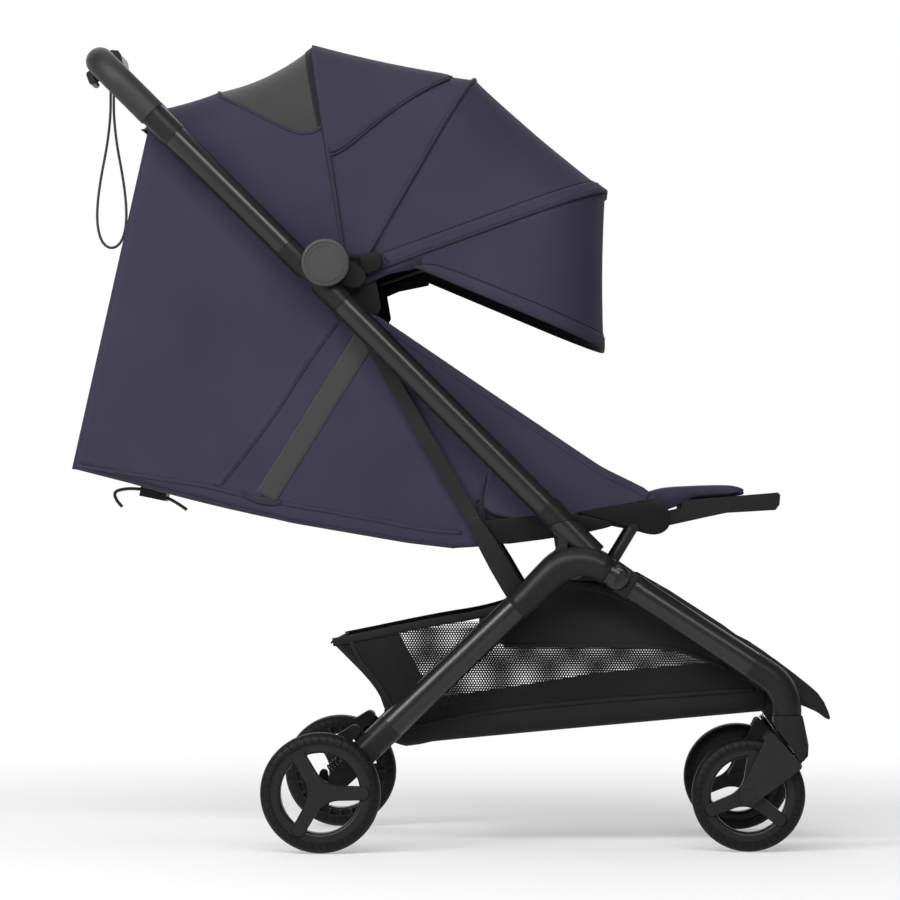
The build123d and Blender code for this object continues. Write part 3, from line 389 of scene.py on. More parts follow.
# nodes whose names start like this look different from the rest of their slot
NODE_LOOK = {
    "fork": "fork", "brake_pedal": "plastic", "handle_collars": "casting",
    "front_spring": "dark_steel", "rear_springs": "dark_steel", "seat_frame": "plastic",
}
for part in frame["record"]["subparts"]:
    if part["material_slot"] == TYRE_SLOT:
        low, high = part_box(part["node"])
        chosen = tyre_material(part["node"] + "_rubber", (low + high) / 2)
    else:
        chosen = M[SLOT_LOOK[part["material_slot"]]]
    for start, better in NODE_LOOK.items():
        if part["node"].startswith(start):
            chosen = M[better]
    materials = NODES[part["node"]].data.materials
    materials.clear()
    materials.append(chosen)


# ---------------------------------------------------------------- mesh helpers
def show(obj):
    bpy.context.scene.collection.objects.link(obj)
    return obj


def link_mesh(name, verts, faces, material, uvs=None):
    mesh = bpy.data.meshes.new(name)
    mesh.from_pydata([tuple(v) for v in verts], [], faces)
    mesh.validate()
    mesh.materials.append(material)
    if uvs is not None:
        layer = mesh.uv_layers.new(name="weave")
        for loop in mesh.loops:
            layer.data[loop.index].uv = uvs[loop.vertex_index]
    for polygon in mesh.polygons:
        polygon.use_smooth = True
    mesh.update()
    return show(bpy.data.objects.new(name, mesh))


def baked(obj):
    """Applies the modifiers, so the mesh is final."""
    graph = bpy.context.evaluated_depsgraph_get()
    mesh = bpy.data.meshes.new_from_object(obj.evaluated_get(graph), preserve_all_data_layers=True,
                                           depsgraph=graph)
    old = obj.data
    obj.modifiers.clear()
    obj.data = mesh
    mesh.name = obj.name
    bpy.data.meshes.remove(old)
    return obj


def modified(obj, kind, **settings):
    """Adds one modifier and applies it."""
    mod = obj.modifiers.new(kind.lower(), kind)
    for key, value in settings.items():
        setattr(mod, key, value)
    return baked(obj)


def thicken(obj, depth, inner=None):
    """Gives a sheet its thickness, on the side away from its normals."""
    if inner is not None:
        obj.data.materials.append(inner)
    shift = 0 if inner is None else len(obj.data.materials) - 1
    return modified(obj, "SOLIDIFY", thickness=depth, offset=-1.0, use_even_offset=False,
                    material_offset=shift)


def grid(name, rows, material):
    """A sheet from rows of points, with its weave coordinates in metres."""
    count, wide = len(rows), len(rows[0])
    uvs = [None] * (count * wide)
    for i, row in enumerate(rows):
        u = 0.0
        for j, p in enumerate(row):
            if j:
                u += (p - row[j - 1]).length
            v = uvs[(i - 1) * wide + j][1] + (p - rows[i - 1][j]).length if i else 0.0
            uvs[i * wide + j] = (u, v)
    corners = [i * wide + j for i in range(count - 1) for j in range(wide - 1)]
    faces = [(a, a + 1, a + wide + 1, a + wide) for a in corners]
    return link_mesh(name, [p for row in rows for p in row], faces, material, uvs)


def tube_faces(rings, count, base=0):
    """Faces between rings of count points each, and a cap on both ends."""
    faces = []
    for first in range(base, base + (rings - 1) * count, count):
        for k in range(count):
            a, b = first + k, first + (k + 1) % count
            faces.append((a, b, b + count, a + count))
    last = base + (rings - 1) * count
    return faces + [tuple(range(base, base + count))[::-1], tuple(range(last, last + count))]


def face_from(obj, heart):
    """Turns a sheet's normals away from a point on its inner side."""
    if sum(p.normal.dot(p.center - heart) * p.area for p in obj.data.polygons) < 0:
        obj.data.flip_normals()


def face_out(obj):
    work = bmesh.new()
    work.from_mesh(obj.data)
    bmesh.ops.recalc_face_normals(work, faces=work.faces)
    work.to_mesh(obj.data)
    work.free()


def sweep(name, path, section, ups, material):
    """Carries a closed section (across, up) along a path; up follows the directions in ups."""
    verts, uvs = [], []
    run = 0.0
    for i, p in enumerate(path):
        ahead = path[min(i + 1, len(path) - 1)] - path[max(i - 1, 0)]
        ahead.normalize()
        up = ups[i] - ahead * ups[i].dot(ahead)
        up.normalize()
        across = ahead.cross(up)
        if i:
            run += (p - path[i - 1]).length
        for a, u in section:
            verts.append(p + across * a + up * u)
            uvs.append((run, a))
    obj = link_mesh(name, verts, tube_faces(len(path), len(section)), material, uvs)
    face_out(obj)
    return obj


def round_section(radius, sides=10):
    turns = [2 * math.pi * k / sides for k in range(sides)]
    return [(radius * math.cos(a), radius * math.sin(a)) for a in turns]


def strap_section(width, depth, crown=0.0):
    """A flat strap with soft edges, resting on up = 0."""
    half = [(1.0, depth * 0.25), (0.985, depth * 0.8), (0.93, depth), (0.45, depth + crown * 0.8)]
    w = width / 2
    return ([(-w * a, u) for a, u in half] + [(0, depth + crown)]
            + [(w * a, u) for a, u in half[::-1]] + [(w * 0.96, 0), (-w * 0.96, 0)])


def stitches(path, ups, material, length=0.0032, gap=0.0016, radius=0.00042):
    """A row of short sewn threads lying on a surface."""
    line = spaced(path, (length + gap) / 2)
    verts, faces = [], []
    half, sides = length / 2, 4
    rings = ((-half, 0.35), (-half * 0.6, 1.0), (half * 0.6, 1.0), (half, 0.35))
    for a, b in zip(line[::2], line[1::2]):
        way = b - a
        if way.length < 1e-6:
            continue
        way.normalize()
        near = min(range(len(path)), key=lambda k: (path[k] - a).length_squared)
        up = ups[near] - way * ups[near].dot(way)
        up.normalize()
        across = way.cross(up)
        middle = (a + b) / 2
        faces += tube_faces(len(rings), sides, len(verts))
        for t, r in rings:
            for k in range(sides):
                angle = math.pi / 4 + k * math.pi / 2
                verts.append(middle + way * t + across * (radius * 1.2 * r * math.cos(angle))
                             + up * (radius * 0.75 * r * math.sin(angle)))
    return link_mesh("stitches", verts, faces, material, [(v.x, v.z) for v in verts])


def joined(name, objs):
    """Several meshes as one piece."""
    work = bmesh.new()
    mats = list(dict.fromkeys(m for obj in objs for m in obj.data.materials))
    for obj in objs:
        order = [mats.index(material) for material in obj.data.materials]
        for polygon in obj.data.polygons:
            polygon.material_index = order[polygon.material_index]
        work.from_mesh(obj.data)
    mesh = bpy.data.meshes.new(name)
    work.to_mesh(mesh)
    work.free()
    for material in mats:
        mesh.materials.append(material)
    for obj in objs:
        bpy.data.objects.remove(obj)
    return show(bpy.data.objects.new(name, mesh))


# ---------------------------------------------------------------- camera, floor and light
camera_data = bpy.data.cameras.new("photo_camera")
camera_data.lens = 154.48
camera_data.sensor_width = 36.0
camera_data.clip_end = 60.0
camera = show(bpy.data.objects.new("photo_camera", camera_data))
camera.location = (0.15244, -4.94904, 0.41687)
camera.rotation_euler = (math.radians(90.940), 0.0, math.radians(1.817))
bpy.context.scene.camera = camera

FLOOR_SIDE, FLOOR_BACK, FLOOR_BEND, WALL_HEIGHT = 9.0, 3.0, 2.5, 7.0
FLOOR_DROP = 0.0005
SKY_LIGHT, SKY_SEEN = 0.12, 1.0


def make_floor():
    """A pale floor that bends up far behind the part."""
    profile = [(-FLOOR_SIDE, 0.0), (FLOOR_BACK, 0.0)]
    for a in range(6, 91, 6):
        turn = math.radians(a)
        profile.append((FLOOR_BACK + FLOOR_BEND * math.sin(turn),
                        FLOOR_BEND - FLOOR_BEND * math.cos(turn)))
    profile.append((FLOOR_BACK + FLOOR_BEND, WALL_HEIGHT))
    rows = [[Vector((x, y, z - FLOOR_DROP)) for x in (-FLOOR_SIDE, -3.0, 0.0, 3.0, FLOOR_SIDE)]
            for y, z in profile]
    material, tree = start_material("pale_floor")
    place = place_of(tree)
    tone = greys(tree, noise_of(tree, place, 0.6, 2.0), (0.3, 0.86), (0.7, 0.88))
    pale = node(tree, "BsdfPrincipled", ("Base Color", tone), ("Roughness", 0.9),
                ("Specular IOR Level", 0.1))
    # away from the part the floor and backdrop show plain white, and near it they keep its shadow
    white = node(tree, "Emission", ("Color", WHITE), ("Strength", 1.0))
    reach = node(tree, "VectorMath", (0, place), operation="LENGTH").outputs["Value"]
    far = node(tree, "MapRange", ("Value", reach), ("From Min", 0.45), ("From Max", 1.9),
               ("To Min", 0.38), ("To Max", 1.0), interpolation_type="SMOOTHSTEP").outputs[0]
    path = node(tree, "LightPath").outputs
    looked = maths(tree, "MAXIMUM", path["Is Camera Ray"], path["Is Glossy Ray"])
    looked = maths(tree, "MAXIMUM", looked, path["Is Transmission Ray"])
    both = node(tree, "MixShader", (0, maths(tree, "MULTIPLY", far, looked)),
                (1, pale.outputs[0]), (2, white.outputs[0]))
    # seen from behind, the backdrop is clear
    behind = node(tree, "NewGeometry").outputs["Backfacing"]
    clear = node(tree, "BsdfTransparent")
    front = node(tree, "MixShader", (0, behind), (1, both.outputs[0]), (2, clear.outputs[0]))
    node(tree, "OutputMaterial", ("Surface", front.outputs[0]))
    floor = grid("studio_floor", rows, material)
    if floor.data.polygons[0].normal.z < 0:
        floor.data.flip_normals()


def lamp(name, where, towards, size, power):
    data = bpy.data.lights.new(name, "AREA")
    data.shape = "RECTANGLE"
    data.size, data.size_y = size
    data.energy = power
    obj = show(bpy.data.objects.new(name, data))
    obj.location = where
    obj.rotation_euler = (Vector(towards) - Vector(where)).to_track_quat("-Z", "Y").to_euler()


def make_sky():
    """A weak white light from all round, which the camera sees as plain white."""
    world = bpy.data.worlds.new("studio_world")
    bpy.context.scene.world = world
    world.use_nodes = True
    sky = world.node_tree
    sky.nodes.clear()
    light, white = (node(sky, "Background", ("Color", WHITE), ("Strength", level)).outputs[0]
                    for level in (SKY_LIGHT, SKY_SEEN))
    looked = node(sky, "LightPath").outputs["Is Camera Ray"]
    both = node(sky, "MixShader", (0, looked), (1, light), (2, white))
    node(sky, "OutputWorld", ("Surface", both.outputs[0]))


make_floor()
lamp("key_light", (-2.1, -1.9, 1.6), (-0.2, 0, 0.6), (1.5, 1.5), 30.0)
lamp("strip_light", (-0.6, -2.9, 2.7), (-0.2, 0, 0.5), (5.2, 0.7), 140.0)
lamp("top_light", (0.0, 0.4, 3.6), (0, 0, 0.5), (3.2, 2.6), 26.0)
lamp("fill_light", (2.8, -2.6, 1.6), (0, 0, 0.5), (2.0, 2.4), 2.0)
lamp("back_light", (-0.5, 3.2, 2.4), (0, 0, 0.6), (3.4, 1.8), 36.0)
make_sky()
bpy.context.scene.view_settings.view_transform = "Standard"

# ---------------------------------------------------------------- wrist strap
WRIST_CORD = 0.0034
WRIST_EXIT, WRIST_Y = (-438.0, 967.9), -56.0
WRIST_LEAN = 0.02
WRIST_HALF = [(2.0, -0.05), (2.0, -22), (2.1, -46), (6, -82), (13, -118), (18, -152), (19, -182),
              (14, -204), (5, -213.5)]


def make_wrist_strap():
    """A loop of thin cord: out of the grip, down, round and back into the grip."""
    x0, z0 = WRIST_EXIT
    route = [(-x, z) for x, z in WRIST_HALF] + WRIST_HALF[::-1]
    data = bpy.data.curves.new("wrist_cord", "CURVE")
    data.dimensions = "3D"
    spline = data.splines.new("NURBS")
    spline.points.add(len(route) - 1)
    for point, (x, z) in zip(spline.points, route):
        point.co = (*at(x0 + x, z0 + z, WRIST_Y + WRIST_LEAN * z), 1.0)
    spline.order_u = 3
    spline.use_endpoint_u = True
    spline.resolution_u = 12
    data.bevel_depth = WRIST_CORD / 2
    data.bevel_resolution = 4
    data.use_fill_caps = True
    data.materials.append(M["webbing"])
    cord = show(bpy.data.objects.new("wrist_cord", data))
    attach(cord, "handle")
    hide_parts("wrist_strap")
    at(x0 - 2.0, z0, WRIST_Y)


make_wrist_strap()

# ---------------------------------------------------------------- seat shell: walls and head panel
WALL_TOP = [(0.0, -380, 897), (0.3, -206, 742), (0.42, -150, 684), (0.5, -93, 662), (0.72, 45, 568),
            (0.9, 183, 475), (0.97, 236, 449), (1.0, 252, 436)]
WALL_LOW = [(0.0, -475, 472.5), (0.2, -340, 438), (0.4, -205, 405.5), (0.58, -60, 380.5),
            (0.66, 0, 373.5), (0.70, 40, 376), (0.715, 34, 384), (0.75, 27, 431), (0.78, 50, 415),
            (0.84, 92, 407), (0.88, 130, 407), (0.93, 172, 422), (0.98, 225, 431),
            (1.0, 252, 435.5)]
WALL_Y = 136.8
WALL_ROWS, WALL_STOPS = 30, 96
WALL_DIP, WALL_SLACK, HEAD_BOW = 3.2, 0.9, 0.8
HEAD_CORNER, HEAD_SHIFT = 13.0, 8.0
SLACK_SCALE, SLACK_MOST = 0.014, 0.3
SHELL_CLOTH = 0.0018
RAY_START = 300.0


def wall_column(s, side):
    """One line of the shell from its upper edge to its lower one, on a side wall."""
    top, low = sample(WALL_TOP, s), sample(WALL_LOW, s)
    ease = HEAD_SHIFT * (1 - smooth(0.0, 0.1, s))
    held = smooth(0.0, 0.12, s) * (1 - smooth(0.6, 0.95, s))
    column = []
    for v in shares(WALL_ROWS):
        x, z = mix2(top, low, v)
        belly = math.sin(math.pi * v)
        slack = noise.noise(Vector((x * SLACK_SCALE, z * SLACK_SCALE, side))) * WALL_SLACK * belly
        y = WALL_Y - WALL_DIP * belly * held + min(SLACK_MOST, slack)
        column.append(at(x + ease, z, side * y))
    return column


def head_column(y, back):
    """The same on the head panel and its corners, at one y and that far back."""
    column = []
    for v in shares(WALL_ROWS):
        x, z = mix2(WALL_TOP[0][1:], WALL_LOW[0][1:], v)
        bow = HEAD_BOW * math.sin(math.pi * v) * (1 - (y / WALL_Y) ** 2)
        column.append(at(x + HEAD_SHIFT - back - bow * 0.6, z + bow * 0.1, y))
    return column


def head_corner(turn, side):
    y = side * (WALL_Y - HEAD_CORNER + HEAD_CORNER * math.cos(turn))
    return head_column(y, HEAD_CORNER * math.sin(turn))


def make_seat_shell():
    """One sheet: from the front of one wall round the head end to the front of the other."""
    stops = sorted({round(s, 5) for s in shares(WALL_STOPS)}
                   | {row[0] for row in WALL_TOP + WALL_LOW})
    turns = [math.radians(k * 90 / 8) for k in range(1, 8)]
    wide = WALL_Y - HEAD_CORNER
    columns = [wall_column(s, NEAR) for s in reversed(stops)]
    columns += [head_corner(turn, NEAR) for turn in turns]
    columns += [head_column(-wide + 2 * wide * t, HEAD_CORNER) for t in shares(28)]
    columns += [head_corner(turn, FAR) for turn in reversed(turns)]
    columns += [wall_column(s, FAR) for s in stops]
    shell = grid("seat_shell", list(zip(*columns)), M["navy"])
    face_from(shell, at(-150, 560))
    mesh = shell.data
    tree = BVHTree.FromPolygons([v.co.copy() for v in mesh.vertices],
                                [tuple(p.vertices) for p in mesh.polygons])
    thicken(shell, SHELL_CLOTH, M["lining"])
    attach(shell, "chassis")
    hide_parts("side_walls", "head_panel")
    return tree


WALL_TREE = make_seat_shell()


def on_wall(x, z, side, lift=0.0):
    """The wall's outer face at a side-view point, and its outward direction."""
    hit, normal, _, _ = WALL_TREE.ray_cast(at(x, z, side * RAY_START), Vector((0, -side, 0)))
    if hit is None or hit.y * side < 0:
        hit = at(x, z, side * WALL_Y)
        normal = Vector((0, side, 0))
    if normal.y * side < 0:
        normal = -normal
    return hit + Vector((0, side * lift * MM, 0)), normal


def wall_line(points, side, lift, step=4.0):
    """A smooth line on the wall through side-view points, with the outward directions along it."""
    both = [on_wall(p.x, p.z, side, lift) for p in spaced(rounded(flat_line(points)), step)]
    return [p for p, _ in both], [n for _, n in both]


def wall_band(points, side, lift, section, look="navy", step=4.0):
    path, ups = wall_line(points, side, lift, step)
    return sweep("band", path, section, ups, M[look])


def wall_row(points, side, lift, look="thread", **size):
    path, ups = wall_line(points, side, lift)
    return stitches(path, ups, M[look], **size)


WALL_SEAM = [seen(337, 317), seen(305, 360), seen(267, 420), seen(215, 486)]
LOW_SEAM = [seen(76, 466), seen(160, 479), seen(212, 487), seen(240, 495), seen(285, 504),
            seen(360, 517), seen(430, 531), seen(462, 533)]
SHORT_SEAM = [seen(286, 505), seen(292, 521)]
TOP_HEM = [sample(WALL_TOP, 0.43 + k * 0.56 / 40) for k in range(41)]
REAR_HEM = [sample(WALL_LOW, k * 0.66 / 40) for k in range(41)]
WEBBING = [(-108, 641), (-170, 542), (-228, 449), (-236, 436)]
POCKET_SLIT = [seen(242, 493), seen(250, 499), seen(262, 503), seen(274, 504), seen(281, 502)]


def wall_seams(side, tag):
    """Raised seams, hems and rows of stitches on one wall, and a thin dark strip of painted shadow
    beside the long seam.
    """
    pieces = [wall_band(WALL_SEAM, side, -0.1, strap_section(0.0075, 0.0007, 0.0003))]
    for shift in (-2.4, 2.4):
        pieces.append(wall_row(moved(WALL_SEAM, shift * 0.81, -shift * 0.585), side, 0.75))
    pieces += [
        # a thin dark strip just past one edge of the seam: painted shadow of the raised seam
        wall_band(moved(WALL_SEAM, 5.0, -3.6), side, -0.2, strap_section(0.0016, 0.0006), "lining"),
        wall_band(LOW_SEAM, side, -0.1, strap_section(0.0050, 0.0010, 0.0004)),
        wall_row(moved(LOW_SEAM, 0.0, 4.0), side, 0.25),
        wall_band(SHORT_SEAM, side, 0.0, strap_section(0.0026, 0.0006)),
        wall_band(moved(TOP_HEM, -1.5, -4.4), side, -0.1, strap_section(0.0095, 0.0009, 0.0004)),
        wall_row(moved(TOP_HEM, -3.2, -7.4), side, 0.85),
        wall_band(moved(REAR_HEM, 2, 1.4), side, -0.4, round_section(0.0021, 8), "navy_trim"),
    ]
    seams = joined("wall_seams_" + tag, pieces)
    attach(seams, "chassis")


def recline_strap(side, tag):
    """Flat webbing from the joint down the wall into a curved pocket slit."""
    parts = [wall_band(WEBBING, side, 0.0, strap_section(0.0275, 0.0013), "webbing", 6.0)]
    for shift in (-10.6, 10.6):
        ends = moved((WEBBING[0], WEBBING[-1]), shift * 0.848, -shift * 0.53)
        parts.append(wall_row(ends, side, 1.35, "black_thread", length=0.0028, gap=0.0014,
                              radius=0.0003))
    parts.append(wall_band(POCKET_SLIT, side, 0.0, strap_section(0.0046, 0.0021, 0.0006),
                           "navy_trim", 2.0))
    piece = joined("recline_webbing_" + tag, parts)
    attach(piece, "chassis")
    if side == NEAR:
        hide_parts("recline_straps")


for side, tag in SIDES:
    wall_seams(side, tag)
    recline_strap(side, tag)


# ---------------------------------------------------------------- canopy
REAR = ((-150.0, 706.0), (-390.0, 927.0))
WINDOW_SHARE = 0.40
WINDOW_DROOP = 9.0
SIDE_PUFF = 1.6
BOW_1 = ((-137.0, 735.0), polar(302.5, 101.0))
BOW_2 = (polar(24, 59.7), polar(294.5, 59.7))
BOW_3 = (polar(24, 18.7), polar(333.5, 19.8))
VISOR_TOP = (polar(60, 18.2), polar(331.5, 19.3))
VISOR_LOW = ((-49.0, 725.5), (187.0, 626.0))
CANOPY_HEART = at(-90, 780)
CANOPY_CLOTH, FLAP_CLOTH = 0.0014, 0.0012
VENT_TOP, VENT_DEEP = 12.0, 96.0
FLAP_END, FLAP_DEEP, FLAP_RISE = 0.86, 146.0, 138.0
FLAP_LIFT, FLAP_PUFF, FLAP_HEM, FLAP_LEAST = 1.2, 2.2, 4.5, 3.0
SKIRT_LOW, SKIRT_FROM, SKIRT_LONG = (-394.0, 899.0), 0.22, 0.56
WAVE_SCALE = 11
VENT_BAND, VENT_ROW = (0.915, 0.999), 0.928
CORNER_PIECE = [(-101, 719.7), (-70, 730.4), (-38.7, 740.9), (-42, 723.6), (-81.6, 715.5),
                (-110, 703), (-118, 708)]
FAR_CORNER_DROP = 6.5
WELD_REACH, WELD_TOP = 0.00005, 0.05


class Panel:
    """The cloth between two arches. w runs between them, q from the near foot to the far one."""

    def __init__(self, first, second, sag, pinch):
        self.first, self.second, self.sag, self.pinch = first, second, sag, pinch

    def arch(self, w):
        a = mix2(self.first[0], self.second[0], w)
        b = mix2(self.first[1], self.second[1], w)
        way = (b[0] - a[0], b[1] - a[1])
        size = math.hypot(*way)
        half = CANOPY_HALF - self.pinch * (4 * w * (1 - w))
        return a, (way[0] / size, way[1] / size), size - self.droop(w), half

    def droop(self, w):
        """How far the top hangs below a straight line between the arches."""
        return self.sag * 4 * w * (1 - w)

    def total(self, w):
        _, _, long, half = self.arch(w)
        return (2 * (long - CANOPY_CORNER) + math.pi * CANOPY_CORNER
                + 2 * (half - CANOPY_CORNER))

    def q_at_depth(self, w, depth):
        """Where the near side of the arch is that far below its top."""
        _, _, long, _ = self.arch(w)
        if depth >= CANOPY_CORNER:
            return (long - depth) / self.total(w)
        turn = math.asin(1 - depth / CANOPY_CORNER)
        return (long - CANOPY_CORNER + CANOPY_CORNER * turn) / self.total(w)

    def point(self, w, q, lift=0.0):
        a, way, long, half = self.arch(w)
        s = q * self.total(w)
        leg = long - CANOPY_CORNER
        arc = math.pi * CANOPY_CORNER / 2
        if q > 0.5:
            s = self.total(w) - s
        if s <= leg:
            puff = SIDE_PUFF * math.sin(math.pi * max(0.0, s) / leg) * 4 * w * (1 - w)
            h, y, out = s, -half - puff, (0.0, -1.0)
        elif s <= leg + arc:
            turn = (s - leg) / CANOPY_CORNER
            h = leg + CANOPY_CORNER * math.sin(turn)
            y = -half + CANOPY_CORNER * (1 - math.cos(turn))
            out = (math.sin(turn), -math.cos(turn))
        else:
            h, y, out = long, -half + CANOPY_CORNER + (s - leg - arc), (1.0, 0.0)
        h += out[0] * lift
        y += out[1] * lift
        if q > 0.5:
            y = -y
        return at(a[0] + way[0] * h, a[1] + way[1] * h, y)

    def out(self, w, q):
        return (self.point(w, q, 1.0) - self.point(w, q, 0.0)).normalized()

    def span(self, q):
        """Width of the panel along one line across it, mm."""
        steps = [self.point(w, q) for w in shares(8)]
        return 1000 * sum((b - a).length for a, b in zip(steps, steps[1:]))


class BackPanel(Panel):
    """The rear panel: nearly flat behind, with a window that hangs slack."""

    def droop(self, w):
        if w < WINDOW_SHARE:
            return WINDOW_DROOP * (1 - (1 - w / WINDOW_SHARE) ** 2)
        v = (w - WINDOW_SHARE) / (1 - WINDOW_SHARE)
        return WINDOW_DROOP * (1 - v * v) + self.sag * 4 * v * (1 - v)


class PanelPart(Panel):
    """A share of a panel, between two of its own lines."""

    def __init__(self, whole, lo, hi):
        self.whole, self.lo, self.hi = whole, lo, hi

    def arch(self, w):
        return self.whole.arch(self.lo + (self.hi - self.lo) * w)

    def point(self, w, q, lift=0.0):
        return self.whole.point(self.lo + (self.hi - self.lo) * w, q, lift)


BACK_PANEL = BackPanel(REAR, BOW_1, 6.0, 2.5)
REAR_PANEL = PanelPart(BACK_PANEL, 0.0, WINDOW_SHARE)
VENT_PANEL = PanelPart(BACK_PANEL, WINDOW_SHARE, 1.0)
MIDDLE_PANEL = Panel(BOW_1, BOW_2, 3.5, 3.0)
FRONT_PANEL = Panel(BOW_2, BOW_3, 3.0, 3.0)
VISOR_PANEL = Panel(VISOR_TOP, VISOR_LOW, 2.5, 2.5)

# the two bodies that a piece swings between, and where it leaves the one and reaches the other
BOW_1_TOP, BOW_2_TOP, BOW_3_TOP = (at(*bow[1]) for bow in (BOW_1, BOW_2, BOW_3))
VISOR_EDGE = at(VISOR_TOP[1][0] + 60.5, VISOR_TOP[1][1] - 172.8)
REAR_SWING = ("chassis", "bow_1", at(*REAR[1]), BOW_1_TOP)
MIDDLE_SWING = ("bow_1", "bow_2", BOW_1_TOP, BOW_2_TOP)
FRONT_SWING = ("bow_2", "bow_3", BOW_2_TOP, BOW_3_TOP)
VISOR_SWING = ("bow_3", "visor", at(*VISOR_TOP[1]), VISOR_EDGE)


def vent_depth(w):
    return VENT_TOP + VENT_DEEP * (1 - (1 - w) ** 1.8)


def flap_depth(w):
    """How far the top flap hangs down the side, from its first arch to its tip."""
    return FLAP_DEEP - FLAP_RISE * min(1.0, w / FLAP_END) ** 1.3


def canopy_grid(name, lines, look):
    sheet = grid(name, lines, M[look])
    face_from(sheet, CANOPY_HEART)
    return sheet


def panel_grid(name, panel, stops, look="navy", q_range=None, rows=72, wave=1.0):
    """A sheet over part of a panel. q_range(w) gives the first and last place along the arch."""
    lines = []
    for w in stops:
        lo, hi = q_range(w) if q_range else (0.0, 1.0)
        line = []
        for j in range(rows + 1):
            q = lo + (hi - lo) * j / rows
            p = panel.point(w, q)
            n = noise.noise(p * WAVE_SCALE)
            line.append(p + panel.out(w, q) * (n * wave * MM * math.sin(math.pi * w)))
        lines.append(line)
    return canopy_grid(name, lines, look)


def strip(panel, look, w_lo, w_hi, q0, q1, lift, cols=4, rows=90):
    """A narrow band lying on a panel between two lines, its edges turned down to the cloth."""
    lines = [[] for _ in range(cols + 1)]
    for j in range(rows + 1):
        q = q0 + (q1 - q0) * j / rows
        lo, hi = w_lo(q), w_hi(q)
        for i, line in enumerate(lines):
            edge = lift if 0 < i < cols else 0.1
            line.append(panel.point(lo + (hi - lo) * i / cols, q, edge))
    return canopy_grid("strip", lines, look)


def arch_path(panel, w_of, q0, q1, lift, count):
    """Points and outward directions along a panel, where w_of(q) says how far across it."""
    qs = [q0 + (q1 - q0) * k / count for k in range(count + 1)]
    return [panel.point(w_of(q), q, lift) for q in qs], [panel.out(w_of(q), q) for q in qs]


def arch_tube(panel, w, radius, q0=0.0, q1=1.0, lift=0.0):
    path, ups = arch_path(panel, lambda q: w, q0, q1, lift, 110)
    return sweep("piping", path, round_section(radius, 9), ups, M["navy_trim"])


def arch_stitches(panel, w_of, q0, q1, lift):
    path, ups = arch_path(panel, w_of, q0, q1, lift, 150)
    return stitches(path, ups, M["thread"])


def arch_shade_line(panel, w_of, q0, q1):
    """A thin dark line along a panel where a band begins: painted shade of the groove at the band's
    edge.
    """
    path, ups = arch_path(panel, w_of, q0, q1, 0.2, 130)
    return sweep("line", path, round_section(0.0008, 6), ups, M["lining"])


def edge_path(panel, depth, ws, far, lift):
    """A line at depth(w) below the top of the arches, on the near or the far side."""
    places = [(w, panel.q_at_depth(w, depth(w))) for w in ws]
    if far:
        places = [(w, 1 - q) for w, q in places]
    return [panel.point(w, q, lift) for w, q in places], [panel.out(w, q) for w, q in places]


def canopy_piece(obj, swing, replaced=None):
    """Canopy cloth that rides on one body; given two bodies to swing between, it is only baked in
    place.
    """
    if isinstance(swing, str):
        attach(obj, swing)
    else:
        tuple(swing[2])
        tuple(swing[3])
        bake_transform(obj)
    if replaced:
        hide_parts(replaced)


def canopy_sheet(obj, swing, replaced=None, inner="lining", depth=CANOPY_CLOTH):
    """A canopy sheet: thickened, then handed to canopy_piece to ride on its body or be baked in
    place.
    """
    thicken(obj, depth, M[inner] if inner else None)
    canopy_piece(obj, swing, replaced)


def weld(obj):
    """Joins the edges of neighbouring sheets, with all normals outward."""
    work = bmesh.new()
    work.from_mesh(obj.data)
    bmesh.ops.remove_doubles(work, verts=work.verts, dist=WELD_REACH)
    bmesh.ops.recalc_face_normals(work, faces=work.faces)
    if sum(f.normal.z for f in work.faces if abs(f.calc_center_median().y) < WELD_TOP) < 0:
        bmesh.ops.reverse_faces(work, faces=work.faces)
    work.to_mesh(obj.data)
    work.free()


